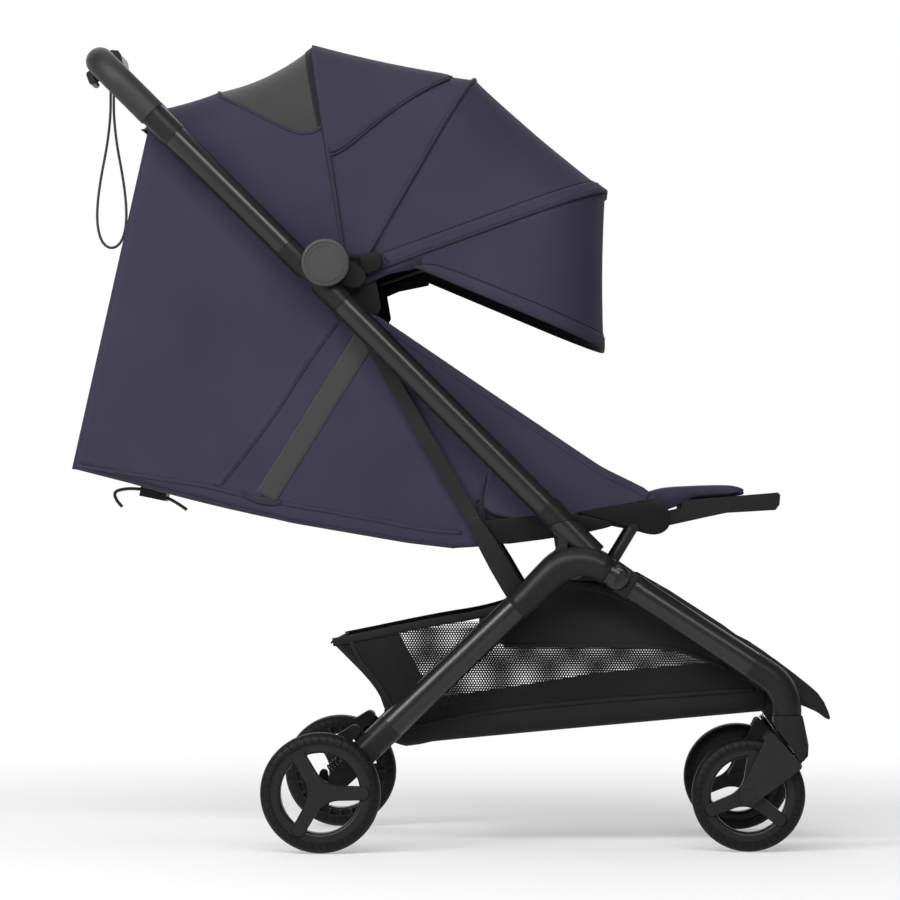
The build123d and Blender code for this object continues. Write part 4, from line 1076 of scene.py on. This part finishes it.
def make_canopy_rear():
    """Navy from the handle to the vent, navy sides under the vent's curved edge, and the vent."""
    behind = [WINDOW_SHARE * k / 12 for k in range(13)]
    over = [WINDOW_SHARE + (1 - WINDOW_SHARE) * k / 14 for k in range(15)]

    def edge(w):
        v = max(0.0, (w - WINDOW_SHARE) / (1 - WINDOW_SHARE))
        return BACK_PANEL.q_at_depth(w, vent_depth(v))

    def between(w):
        return edge(w), 1.0 - edge(w)

    rear = joined("canopy_rear_sheet", [
        panel_grid("back", BACK_PANEL, behind, "navy", between, 60),
        panel_grid("near", BACK_PANEL, behind + over[1:], "navy", lambda w: (0.0, edge(w)), 44),
        panel_grid("far", BACK_PANEL, behind + over[1:], "navy", lambda w: (1.0 - edge(w), 1.0),
                   44),
        panel_grid("vent", BACK_PANEL, over, "window", between, 60),
    ])
    weld(rear)
    canopy_sheet(rear, REAR_SWING, "canopy_rear", None)

    # a short skirt closes the back between the rear edge and the top of the head panel
    rows = [[], [], [], []]
    for k in range(61):
        top = BACK_PANEL.point(0.0, SKIRT_FROM + SKIRT_LONG * k / 60)
        low = at(*SKIRT_LOW, top.y / MM)
        for row, share in zip(rows, (0.0, 0.33, 0.67, 1.0)):
            row.append(top.lerp(low, share) if top.z > low.z else top.copy())
    skirt = canopy_grid("canopy_skirt", rows, "navy")
    thicken(skirt, FLAP_CLOTH, M["lining"])
    canopy_piece(skirt, "chassis")

    binding = strap_section(0.0042, 0.0011, 0.0004)
    q_low = VENT_PANEL.q_at_depth(1.0, vent_depth(1.0))
    q_back = VENT_PANEL.q_at_depth(0.0, vent_depth(0.0))
    edges = [edge_path(VENT_PANEL, vent_depth, shares(40), far, 0.0) for far in (False, True)]
    edges.append(arch_path(VENT_PANEL, lambda q: 0.0, q_back, 1 - q_back, 0.0, 40))
    trim = [sweep("binding", path, binding, ups, M["navy_trim"]) for path, ups in edges]
    trim.append(strip(VENT_PANEL, "black_cloth", lambda q: VENT_BAND[0], lambda q: VENT_BAND[1],
                      q_low, 1 - q_low, 1.3))
    trim.append(arch_tube(REAR_PANEL, 0.004, 0.0022, lift=-0.6))
    trim.append(arch_stitches(VENT_PANEL, lambda q: VENT_ROW, q_low, 1 - q_low, 1.35))
    canopy_piece(joined("canopy_rear_trim", trim), REAR_SWING)


def make_canopy_middle():
    """The middle sheet, and the flap that overlaps it from the first bow."""
    middle = panel_grid("canopy_middle_sheet", MIDDLE_PANEL, shares(22))
    canopy_sheet(middle, MIDDLE_SWING, "canopy_middle")
    lines = []
    for i in range(25):
        w = FLAP_END * i / 24
        lo = MIDDLE_PANEL.q_at_depth(w, flap_depth(w))
        tip = min(1.0, (FLAP_END - w) / 0.06 + 0.15)
        line = []
        for t in shares(80):
            edge = min(1.0, min(t, 1 - t) / 0.03)
            lift = FLAP_LIFT + FLAP_PUFF * edge * tip
            line.append(MIDDLE_PANEL.point(w, lo + (1 - lo - lo) * t, lift))
        lines.append(line)
    flap = canopy_grid("canopy_flap", lines, "navy")
    canopy_sheet(flap, MIDDLE_SWING, None, "navy_trim",
                 FLAP_CLOTH)
    trim = []
    ws = [FLAP_END * k / 60 for k in range(61)]
    for far in (False, True):
        path, ups = edge_path(MIDDLE_PANEL, lambda w: max(FLAP_LEAST, flap_depth(w)), ws, far, 1.9)
        trim.append(sweep("edge", path, round_section(0.0013, 8), ups, M["navy_trim"]))
        path, ups = edge_path(MIDDLE_PANEL, lambda w: max(FLAP_LEAST, flap_depth(w) - FLAP_HEM), ws,
                              far, 3.6)
        trim.append(stitches(path, ups, M["thread"]))
    for w, radius, lift in ((0.004, 0.0021, 1.0), (0.021, 0.0021, 1.0), (0.994, 0.0026, 0.6)):
        trim.append(arch_tube(MIDDLE_PANEL, w, radius, lift=lift))
    canopy_piece(joined("canopy_middle_trim", trim), MIDDLE_SWING)


def hem(panel, wide, least, narrow, q0, lift, cols, rows):
    """A folded hem along a panel's second arch: its band, a dark line of painted shade where it
    begins, and rows of stitches.
    """
    def start(q):
        return max(least, 1 - wide / max(narrow, panel.span(q)))

    # the band, and a dark line of painted shade along its upper edge
    trim = [strip(panel, "navy", start, lambda q: 1.0, q0, 1 - q0, lift, cols),
            arch_shade_line(panel, lambda q: start(q) - 0.002, q0, 1 - q0)]
    for row in rows:
        trim.append(arch_stitches(panel, lambda q: start(q) + (1 - start(q)) * row, q0 + 0.01,
                                  1 - q0 - 0.01, lift + 0.1))
    return trim


def make_canopy_front():
    """The front sheet, the hem that holds the front bow, and the visor that bends from it."""
    front = panel_grid("canopy_front_sheet", FRONT_PANEL, shares(22))
    canopy_sheet(front, FRONT_SWING, "canopy_front")
    trim = hem(FRONT_PANEL, 19.0, 0.45, 25.0, 0.03, 2.6, 6, (0.24, 0.80))
    trim.append(arch_tube(FRONT_PANEL, 1.0, 0.0022, 0.02, 0.98, lift=0.4))
    canopy_piece(joined("canopy_front_trim", trim), FRONT_SWING)

    # the small side pieces that close the corner under the front bow
    for side, tag in SIDES:
        drop = 0.0 if side == NEAR else FAR_CORNER_DROP
        verts = [at(x, z - (drop if 2 < k < 6 else 0.0), side * (CANOPY_HALF - 0.6))
                 for k, (x, z) in enumerate(CORNER_PIECE)]
        piece = link_mesh("canopy_corner_" + tag, verts, [tuple(range(len(verts)))], M["navy"],
                          [(x * MM, z * MM) for x, z in CORNER_PIECE])
        face_from(piece, CANOPY_HEART)
        thicken(piece, CANOPY_CLOTH, M["lining"])
        canopy_piece(piece, "bow_3")

    visor = panel_grid("canopy_visor_sheet", VISOR_PANEL, shares(20), wave=0.8)
    canopy_sheet(visor, VISOR_SWING, "canopy_visor")
    trim = hem(VISOR_PANEL, 17.0, 0.5, 30.0, 0.01, 2.0, 5, (0.3,))
    trim.append(arch_tube(VISOR_PANEL, 1.0, 0.0019))
    canopy_piece(joined("canopy_visor_trim", trim), VISOR_SWING)


make_canopy_rear()
make_canopy_middle()
make_canopy_front()

# ---------------------------------------------------------------- basket
BASKET_Y = 137.0
BASKET_BELLY = 2.5
BASKET_HEART = at(150, 260)
BASKET_TOP = [(-152, 259), (-121, 266), (-30, 285), (31, 294.5), (75, 308), (132, 334), (170, 330),
              (222, 314), (366, 222), (386, 200), (391, 170)]
BASKET_LOW = [(-152, 259), (-93, 199), (-84, 165), (-78, 132), (-62, 126), (-42, 128.5), (-28, 132),
              (119, 146), (368, 169), (391, 171)]
FLOOR_LIP = [(-78, 143), (-66, 146), (-53, 150.7), (69.2, 175.6), (373, 198.5), (391, 196)]
NET_SIDE = [(-146, 256.5), (-121, 262), (-30, 281), (38, 291), (66, 268), (262, 262), (338, 232),
            (366, 219), (373, 198), (69, 170), (-53, 146), (-64, 142), (-80, 167), (-91, 200)]
UPPER_SIDE = [(31, 290), (31, 270), (62, 252.3), (262.5, 252.3), (300, 240), (338, 226), (344, 234),
              (222, 312), (170, 329), (133, 333)]
BACKING_SIDE = [(-146, 257), (-121, 261), (-84, 267), (-54, 207), (-24.3, 175.6), (69.2, 189.3),
                (175.2, 206.8), (333.6, 222), (366, 219), (373, 198), (69, 170), (-53, 146),
                (-64, 141), (-81, 166), (-92, 199.5)]
BASKET_RIM = [(-151, 256), (-121, 262), (-30, 281), (31, 290.5), (75, 304), (132, 330),
              (170, 326.5), (220, 310.5), (364, 219), (384, 198)]
BASKET_SEAMS = (([(62, 252.3), (262.5, 252.3), (300, 240), (338, 225)], 0.0055),
                ([(-53, 150.7), (69.2, 175.6), (373, 198)], 0.005),
                ([(-150, 258), (-93, 201), (-82, 167), (-66, 141)], 0.006),
                ([(-129, 257), (-115, 228), (-93, 204), (-78, 176), (-60, 146)], 0.0055))
REAR_SLOPE = flat_line([(-152, 259), (-93, 199), (-84, 165), (-78, 136), (-68, 127)])
REAR_BELLY, REAR_LONG = 6.0, 170.0
REAR_NET_HALF, REAR_NET_FROM, REAR_NET_TO = 136, 2, 146
NET_PITCH, NET_HOLE = 3.4, 1.12
NET_BOX, REAR_NET_BOX = (-150, 120, 392, 275), (-138, 0, 138, 170)
FLOOR_FROM, FLOOR_LONG, FLOOR_SAG = -76, 466, 4.0
LEAST_CURL, MOST_CURL = 3.0, 16.0
PATCH_STEP = 10.0
UPPER_CLOTH, BACKING_CLOTH, BAG_CLOTH = 0.0012, 0.0006, 0.0016


def basket_y(x, z):
    """Half width of the bag: a soft belly between its rim and its floor."""
    top, low = sample(BASKET_TOP, x)[0], sample(BASKET_LOW, x)[0]
    v = min(1.0, max(0.0, (z - low) / max(20.0, top - low)))
    belly = math.sin(math.pi * min(1.0, 0.12 + 0.8 * v))
    return BASKET_Y - BASKET_BELLY + BASKET_BELLY * belly


def inside(polygon, x, z):
    found = False
    for (x0, z0), (x1, z1) in zip(polygon, polygon[1:] + polygon[:1]):
        if (z0 > z) != (z1 > z) and x < (x1 - x0) * (z - z0) / (z1 - z0) + x0:
            found = not found
    return found


def side_patch(name, polygon, side, lift, depth):
    """A flat-cut cloth piece on the side of the bag."""
    rim = spaced(flat_line(polygon + polygon[:1]), PATCH_STEP)
    points = [(p.x, p.z) for p in rim[:-1]]
    count = len(points)
    xs, zs = zip(*points)
    x = min(xs) + PATCH_STEP / 2
    while x < max(xs):
        z = min(zs) + PATCH_STEP / 2
        while z < max(zs):
            if inside(points, x, z):
                points.append((x, z))
            z += PATCH_STEP
        x += PATCH_STEP
    verts, _, faces, _, _, _ = delaunay_2d_cdt([Vector(p) for p in points], [],
                                               [list(range(count))], 1, 1e-4)
    solid = [at(v.x, v.y, side * (basket_y(v.x, v.y) + lift)) for v in verts]
    obj = link_mesh(name, solid, [tuple(f) for f in faces], M["black_cloth"],
                    [(v.x * MM, v.y * MM) for v in verts])
    if sum(p.normal.y for p in obj.data.polygons) * side < 0:
        obj.data.flip_normals()
    return thicken(obj, depth)


def net_patch(name, wanted, place, box):
    """Real netting: staggered openings in a thin sheet, where wanted(u, v), at place(u, v)."""
    verts, faces, index, uvs = [], [], {}, []

    def vertex(u, v):
        key = (round(u * 50), round(v * 50))
        if key not in index:
            index[key] = len(verts)
            verts.append(place(u, v))
            uvs.append((u * MM, v * MM))
        return index[key]

    corners = [math.radians(30 + 60 * k) for k in range(6)]
    rise = NET_PITCH * math.sqrt(3) / 2
    for i in range(int((box[3] - box[1]) / rise) + 1):
        v0 = box[1] + i * rise
        for j in range(int((box[2] - box[0]) / NET_PITCH) + 1):
            u0 = box[0] + (j + 0.5 * (i % 2)) * NET_PITCH
            if not wanted(u0, v0):
                continue
            outer, inner = ([vertex(u0 + r * math.cos(a), v0 + r * math.sin(a)) for a in corners]
                            for r in (NET_PITCH / math.sqrt(3), NET_HOLE))
            for k in range(6):
                m = (k + 1) % 6
                faces.append((outer[k], outer[m], inner[m], inner[k]))
    return link_mesh(name, verts, faces, M["net"], uvs)


def floor_panel():
    """The closed lower part: up each side a little, round the corners, and a sagging floor."""
    rows = []
    for i in range(61):
        x = FLOOR_FROM + FLOOR_LONG * i / 60
        low = sample(BASKET_LOW, x)[0]
        lip = max(sample(FLOOR_LIP, x)[0], low + 3)
        curl = min(MOST_CURL, max(LEAST_CURL, (lip - low) * 0.6))
        half = basket_y(x, lip) + 0.6
        row = [at(x, lip + (low + curl - lip) * t, -half) for t in shares(4)]
        for k in range(1, 7):
            a = math.radians(90 * k / 6)
            row.append(at(x, low + curl - curl * math.sin(a), -half + curl * (1 - math.cos(a))))
        left = [Vector((p.x, -p.y, p.z)) for p in row[::-1]]
        for t in shares(20)[1:-1]:
            sag = FLOOR_SAG * math.sin(math.pi * t) * math.sin(math.pi * (i / 60))
            row.append(at(x, low - sag, (-half + curl) + 2 * (half - curl) * t))
        rows.append(row + left)
    return rows


def bag_panel(name, rows):
    panel = grid(name, rows, M["black_cloth"])
    face_from(panel, BASKET_HEART)
    return thicken(panel, BAG_CLOTH)


def rear_place(u, v):
    """The sloping rear end of the bag: u across, v down the slope from the rim, mm."""
    left = v
    for a, b in zip(REAR_SLOPE, REAR_SLOPE[1:]):
        long = (b - a).length
        if left <= long or b is REAR_SLOPE[-1]:
            p = a + (b - a) * (left / long)
            break
        left -= long
    belly = REAR_BELLY * (1 - (u / BASKET_Y) ** 2) * math.sin(math.pi * min(1.0, v / REAR_LONG))
    return at(p.x - belly, p.z - belly * 0.3, u)


def in_rear_net(u, v):
    return abs(u) < REAR_NET_HALF and REAR_NET_FROM < v < REAR_NET_TO


def bag_line(points, side, step, lift):
    return [at(p.x, p.z, side * (basket_y(p.x, p.z) + lift))
            for p in spaced(rounded(flat_line(points)), step)]


def bag_band(path, up, *section):
    return sweep("band", path, strap_section(*section), [Vector(up)] * len(path), M["black_cloth"])


def make_basket():
    pieces = []
    for side, _ in SIDES:
        pieces.append(net_patch("net", lambda u, v: inside(NET_SIDE, u, v),
                                lambda u, v: at(u, v, side * basket_y(u, v)), NET_BOX))
        pieces.append(side_patch("upper", UPPER_SIDE, side, 0.8, UPPER_CLOTH))
        pieces.append(side_patch("backing", BACKING_SIDE, side, -1.6, BACKING_CLOTH))
        out = (0, side, 0)
        path = bag_line(BASKET_RIM, side, 5.0, 0.5)
        pieces.append(bag_band(path, out, 0.0105, 0.0016, 0.0008))
        row = [p + Vector((0, side * 0.0019, -0.0024)) for p in path]
        pieces.append(stitches(row, [Vector(out)] * len(row), M["black_thread"]))
        for seam, width in BASKET_SEAMS:
            pieces.append(bag_band(bag_line(seam, side, 4.0, 0.7), out, width, 0.0012, 0.0005))
    pieces.append(bag_panel("basket_floor", floor_panel()))
    pieces.append(bag_panel("front_end", [
        [at(390 - 3 * k, 170 + 9 * k, -132 + 264 * j / 24) for j in range(25)] for k in range(4)]))
    pieces.append(net_patch("rear_net", in_rear_net, rear_place, REAR_NET_BOX))
    path = [rear_place(-136 + 272 * k / 40, 3.0) for k in range(41)]
    pieces.append(bag_band(path, (-0.6, 0, 0.8), 0.0095, 0.0018, 0.0008))
    path = [rear_place(-130 + 260 * k / 40, 118.0) for k in range(41)]
    pieces.append(bag_band(path, (-0.8, 0, -0.3), 0.008, 0.0012, 0.0005))
    bag = joined("basket_bag", pieces)
    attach(bag, "chassis")
    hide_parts("basket")
    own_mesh(bag)


make_basket()

# ---------------------------------------------------------------- padded pieces
BLOW_FRAMES = 20
GROOVE_FACING = 0.25
BLOWN_CLOTH = {
    "use_pressure": True, "uniform_pressure_force": 4.0, "quality": 6, "mass": 0.3,
    "tension_stiffness": 18.0, "compression_stiffness": 18.0, "shear_stiffness": 8.0,
    "bending_stiffness": 0.6, "air_damping": 4.0,
}


def push(obj, amount):
    """Moves every vertex along its normal by amount(place, normal)."""
    for vertex, normal in [(v, v.normal.copy()) for v in obj.data.vertices]:
        vertex.co += normal * amount(vertex.co, normal)


def blow(obj, floor, cap):
    """Blows a closed cloth up from inside, held where floor(place), by no more than cap."""
    start = [v.co.copy() for v in obj.data.vertices]
    held = obj.vertex_groups.new(name="held")
    held.add([v.index for v in obj.data.vertices if floor and floor(v.co)], 1.0, "REPLACE")
    mod = obj.modifiers.new("blown", "CLOTH")
    for key, value in BLOWN_CLOTH.items():
        setattr(mod.settings, key, value)
    mod.settings.effector_weights.gravity = 0.0
    if floor:
        mod.settings.vertex_group_mass = "held"
    mod.point_cache.frame_start = 1
    mod.point_cache.frame_end = BLOW_FRAMES
    for number in range(1, BLOW_FRAMES + 1):
        bpy.context.scene.frame_set(number)
    baked(obj)
    bpy.context.scene.frame_set(1)
    for v, p in zip(obj.data.vertices, start):
        move = v.co - p
        if move.length > cap:
            v.co = p + move * (cap / move.length)


def pad(solid, name, body, shrink, cap, voxel=0.0055, grooves=(), floor=None):
    """A cushion from its CAD solid: remeshed a little small, blown up, and sewn along seams."""
    obj = show(bpy.data.objects.new(name, NODES[solid].data.copy()))
    obj.data.materials.clear()
    obj.data.materials.append(M["navy_pad"])
    modified(obj, "REMESH", mode="VOXEL", voxel_size=voxel, use_smooth_shade=True)
    for _ in range(2):
        modified(obj, "SMOOTH", factor=0.5, iterations=3)
    push(obj, lambda p, n: -shrink)
    blow(obj, floor, cap)
    modified(obj, "SUBSURF", levels=1, render_levels=1)
    push(obj, lambda p, n: -sum(g(p, n) for g in grooves))
    for polygon in obj.data.polygons:
        polygon.use_smooth = True
    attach(obj, body)
    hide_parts(solid)


def groove(axis, value, width, depth):
    """A sewn line where one coordinate has that value, on faces that look up."""
    def cut(p, n):
        if n.z < GROOVE_FACING:
            return 0.0
        d = (axis(p) - value) / width
        return depth * math.exp(-d * d)
    return cut


def along(p):
    return p.x * 1000 + ORIGIN_X


def sideways(p):
    return p.y * 1000


pad("seat_pad", "seat_cushion", "chassis", 0.002, 0.006,
    grooves=(groove(sideways, -66, 4.0, 0.0026), groove(sideways, 66, 4.0, 0.0026),
             groove(along, 122, 4.0, 0.0022)),
    floor=lambda p: p.z < at(0, 400 + (along(p) - 48) * 0.094).z)
pad("backrest_pad", "backrest_cushion", "backrest", 0.002, 0.007,
    grooves=(groove(sideways, -62, 4.0, 0.0028), groove(sideways, 62, 4.0, 0.0028),
             groove(along, -120, 4.0, 0.0024), groove(along, -290, 4.0, 0.0024)),
    floor=lambda p: p.z < at(0, 404 + (25 - along(p)) * 0.1785 - 1).z)
pad("leg_rest_pad", "leg_rest_cushion", "leg_rest", 0.0, 0.0042, voxel=0.0034,
    grooves=(groove(along, 292, 3.0, 0.0014), groove(along, 345, 3.0, 0.0012)),
    floor=lambda p: p.z < at(0, 435.2 + 0.0812 * max(0.0, along(p) - 287)).z)
pad("backrest_board", "backrest_cover", "backrest", 0.0012, 0.0025, voxel=0.006)

KNEE = [(228, 437), (243, 443.5), (258, 448), (276, 450), (300, 451), (330, 452), (350, 451.5),
        (363, 447), (360, 442.5), (330, 441), (300, 438), (289, 430), (268, 422), (250, 416),
        (230, 414)]
KNEE_HALF = 110
KNEE_END = [(110, 0.35), (108.5, 0.75), (105, 0.95)]


def knee_roll():
    """A soft roll that joins the seat's front edge to the leg rest pad."""
    ring = rounded(flat_line(KNEE + KNEE[:1]))[:-1]
    middle = sum(ring, Vector()) / len(ring)
    stops = [(-y, size) for y, size in KNEE_END] + [(-100 + 10 * k, 1.0) for k in range(21)]
    stops += KNEE_END[::-1]
    verts = []
    for y, size in stops:
        for p in ring:
            q = middle + (p - middle) * (0.6 + 0.4 * size)
            crown = 1.2 * (1 - (y / KNEE_HALF) ** 2) if p.z > middle.z else 0.0
            verts.append(at(q.x, q.z + crown, y))
    roll = link_mesh("knee_roll", verts, tube_faces(len(stops), len(ring)), M["navy_pad"])
    face_out(roll)
    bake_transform(roll)


# ---------------------------------------------------------------- moulded covers
SHIELD = [(150, 418), (190, 425), (228, 431), (254, 432), (270, 420), (269, 399), (253, 389),
          (231, 393), (206, 404), (178, 412)]
WING = [(356, 261), (386, 245.5), (434, 209.5), (456, 190), (467.5, 163), (463, 161), (450, 171),
        (434, 178), (418, 184), (396, 204), (376, 236)]
LEG_TRIM = [(216, 341), (238, 339.5), (381.4, 247), (376, 236), (222, 332)]
RAIL = [(20, 405), (30, 384), (50, 376.6), (127, 386.3), (180, 396), (206, 404), (150, 418),
        (60, 411)]
CANOPY_GUSSET = [(-152, 684), (-150, 728), (-128, 738), (-102, 730), (-96, 700), (-90, 664),
                 (-112, 668)]
CANOPY_CLAMP = [(-119, 738), (-92, 745), (-87, 722), (-114, 713)]
STRUT_COVER = beside((84.0, 306.5), (-0.502, 0.865),
                     [(-6, -9), (2, -12), (70, -12), (118, -8.6), (122, 0), (118, 8.6), (70, 13.5),
                      (8, 13.5), (-6, 8)])
SLANT_LOW = (426.0, 113.0)
BUMPER = beside(SLANT_LOW, (-0.563, 0.826), [(8, 0.4), (8, 7.0), (43, 7.0), (43, 0.4)])
TRIGGER_STEM = beside((-445.1, 984.4), (-0.940, -0.342), [(12, -3), (12, 3), (23.5, 3), (23.5, -3)])
# name, outline, inner and outer y, look, body, rounding of the outline
PLATES = (
    ("hip_shield_", SHIELD, 134.2, 137.6, "plastic", "chassis", 2),
    ("seat_rail_", RAIL, 133.6, 137.2, "plastic", "chassis", 1),
    ("foot_panel_edge_", WING, 146.0, 151.4, "casting", "front_legs", 1),
    ("front_leg_trim_", LEG_TRIM, 146.4, 151.0, "casting", "front_legs", 1),
    ("canopy_gusset_", CANOPY_GUSSET, 133.4, 134.6, "black_cloth", "chassis", 1),
    ("canopy_clamp_", CANOPY_CLAMP, 142.0, 149.4, "plastic", "chassis", 1),
    ("strut_cover_", STRUT_COVER, 139.2, 145.2, "casting", "struts", 1),
)
ELBOW_START, ELBOW_RUN, ELBOW_TIP = (78, 298.8), (43.7, 42.7), (192.5, 344.0)
ELBOW_HEART, ELBOW_BEND, ELBOW_Y = (158.0, 304.3), 52.0, 176.6
ELBOW_FROM, ELBOW_TURN = 134.3, 72.3
ELBOW_HIGH, ELBOW_CROWN, ELBOW_WIDE = 17.7, 2.8, 17.6
ELBOW_END, ELBOW_SIDES = (17.1, 17.05), 32


def flat_piece(name, side, outline, inner, outer, look, body, turns):
    """A moulded plate with eased edges, between two distances from the middle."""
    ring = flat_line(outline)
    if turns:
        ring = rounded(flat_line(outline + outline[:1]), turns)[:-1]
    verts = [at(p.x, p.z, y) for y in sorted((side * inner, side * outer)) for p in ring]
    obj = link_mesh(name, verts, tube_faces(2, len(ring)), M[look])
    face_out(obj)
    modified(obj, "BEVEL", width=min(0.0012, 0.0003 * (outer - inner)), segments=3,
             limit_method="ANGLE", angle_limit=math.radians(40))
    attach(obj, body)
    return obj


def elbow_cover(side, tag):
    """The thicker moulded bend at the top of a rear leg, round the tube."""
    path = [(ELBOW_START[0] + ELBOW_RUN[0] * k / 8, ELBOW_START[1] + ELBOW_RUN[1] * k / 8)
            for k in range(8)]
    for k in range(17):
        turn = math.radians(ELBOW_FROM - ELBOW_TURN * k / 16)
        path.append((ELBOW_HEART[0] + ELBOW_BEND * math.cos(turn),
                     ELBOW_HEART[1] + ELBOW_BEND * math.sin(turn)))
    flat = flat_line(path + [ELBOW_TIP])
    rings = []
    for i, p in enumerate(flat):
        ahead = (flat[min(i + 1, len(flat) - 1)] - flat[max(i - 1, 0)]).normalized()
        t = i / (len(flat) - 1)
        high = ELBOW_HIGH + ELBOW_CROWN * math.sin(math.pi * min(1.0, t * 1.02)) ** 1.3
        rings.append((p, Vector((-ahead.z, 0, ahead.x)), high, ELBOW_WIDE))
    rings = [(*rings[0][:2], *ELBOW_END), *rings, (*rings[-1][:2], *ELBOW_END)]
    verts = []
    for p, out, high, wide in rings:
        for k in range(ELBOW_SIDES):
            a = 2 * math.pi * k / ELBOW_SIDES
            q = p + out * (high * math.cos(a))
            verts.append(at(q.x, q.z, side * (ELBOW_Y + wide * math.sin(a))))
    cover = link_mesh("elbow_cover_" + tag, verts, tube_faces(len(rings), ELBOW_SIDES),
                      M["casting"])
    face_out(cover)
    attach(cover, "rear_legs")


for side, tag in SIDES:
    for name, *plate in PLATES:
        flat_piece(name + tag, side, *plate)
    elbow_cover(side, tag)
    bumper = flat_piece("fork_bumper_" + tag, side, BUMPER, 161.0, 179.0, "plastic",
                        "caster_" + tag, 0)
    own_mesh(bumper)
    flat_piece("trigger_stem_" + tag, side, TRIGGER_STEM, 8.0, 14.0, "plastic",
               "release_trigger", 0)
knee_roll()

# ---------------------------------------------------------------- harness and cords
HARNESS_Y = 46.0
HARNESS_STRAP = strap_section(0.022, 0.0016)
SLEEVE, SLEEVE_FROM, SLEEVE_TO = strap_section(0.046, 0.0075, 0.003), -255, -70
BACK_HINGE, BACK_COS, BACK_SIN = (25, 400), 0.9844, 0.1757
CLIP_CORD = 0.0042


def on_back(t, off):
    """Side-view point that far up the backrest from its hinge, and off above its line."""
    return (BACK_HINGE[0] - BACK_COS * t + BACK_SIN * off,
            BACK_HINGE[1] + BACK_SIN * t + BACK_COS * off)


SHOULDER = [on_back(345, 21.5), on_back(250, 22.5), on_back(120, 22.0), on_back(40, 23.0),
            (40, 430.5), (110, 436.0), (178, 446.0)]
LAP = [(64, 432, 2.2), (90, 436, 2.0), (140, 440, 1.35), (180, 443.5, 0.62)]
CROTCH = [at(216, 444), at(226, 441), at(231, 437.5), at(233, 430)]


def chassis_strap(name, path, section, up):
    strap = sweep(name, path, section, [Vector(up)] * len(path), M["webbing"])
    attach(strap, "chassis")


def make_harness():
    for side, tag in SIDES:
        y = side * HARNESS_Y
        flat = spaced(rounded(flat_line(SHOULDER), 3), 6.0)
        path = [at(p.x, p.z, y * (1.0 - 0.55 * smooth(60, 180, p.x))) for p in flat]
        turns = [(b - a).normalized() for a, b in zip(path, path[1:])]
        ups = [Vector((0, 1, 0)).cross(t) for t in turns + turns[-1:]]
        ups = [u if u.z > 0 else -u for u in ups]
        strap = sweep("strap", path, HARNESS_STRAP, ups, M["webbing"])
        cover = [(p, u) for p, u, f in zip(path, ups, flat) if SLEEVE_FROM < f.x < SLEEVE_TO]
        sleeve = sweep("sleeve", [p for p, _ in cover], SLEEVE, [u for _, u in cover],
                       M["navy_pad"])
        piece = joined("shoulder_strap_" + tag, [strap, sleeve])
        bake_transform(piece)
        lap = spaced(rounded([at(x, z, y * share) for x, z, share in LAP], 3), 0.006)
        chassis_strap("lap_strap_" + tag, lap, HARNESS_STRAP, (0, 0, 1))
    chassis_strap("crotch_strap", spaced(rounded(CROTCH, 3), 0.003), strap_section(0.03, 0.0018),
                  (0.5, 0, 0.86))


def cord_tail(name, route):
    """A short knotted cord end that hangs from the recline clip."""
    path = spaced(rounded([at(x, z, y) for x, z, y in route]), 0.002)
    tail = sweep(name, path, round_section(CLIP_CORD / 2), [Vector((0, 1, 0))] * len(path),
                 M["webbing"])
    long = sum((b - a).length for a, b in zip(path, path[1:]))
    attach(tail, "backrest")
    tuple(path[0])


make_harness()
cord_tail("clip_cord_rear", [(-406, 448, -6), (-424, 449, -8), (-441, 445, -9), (-438, 434, -9),
                             (-429, 424, -8)])
cord_tail("clip_cord_front", [(-378, 439, -6), (-364, 433, -8), (-346, 421, -9)])
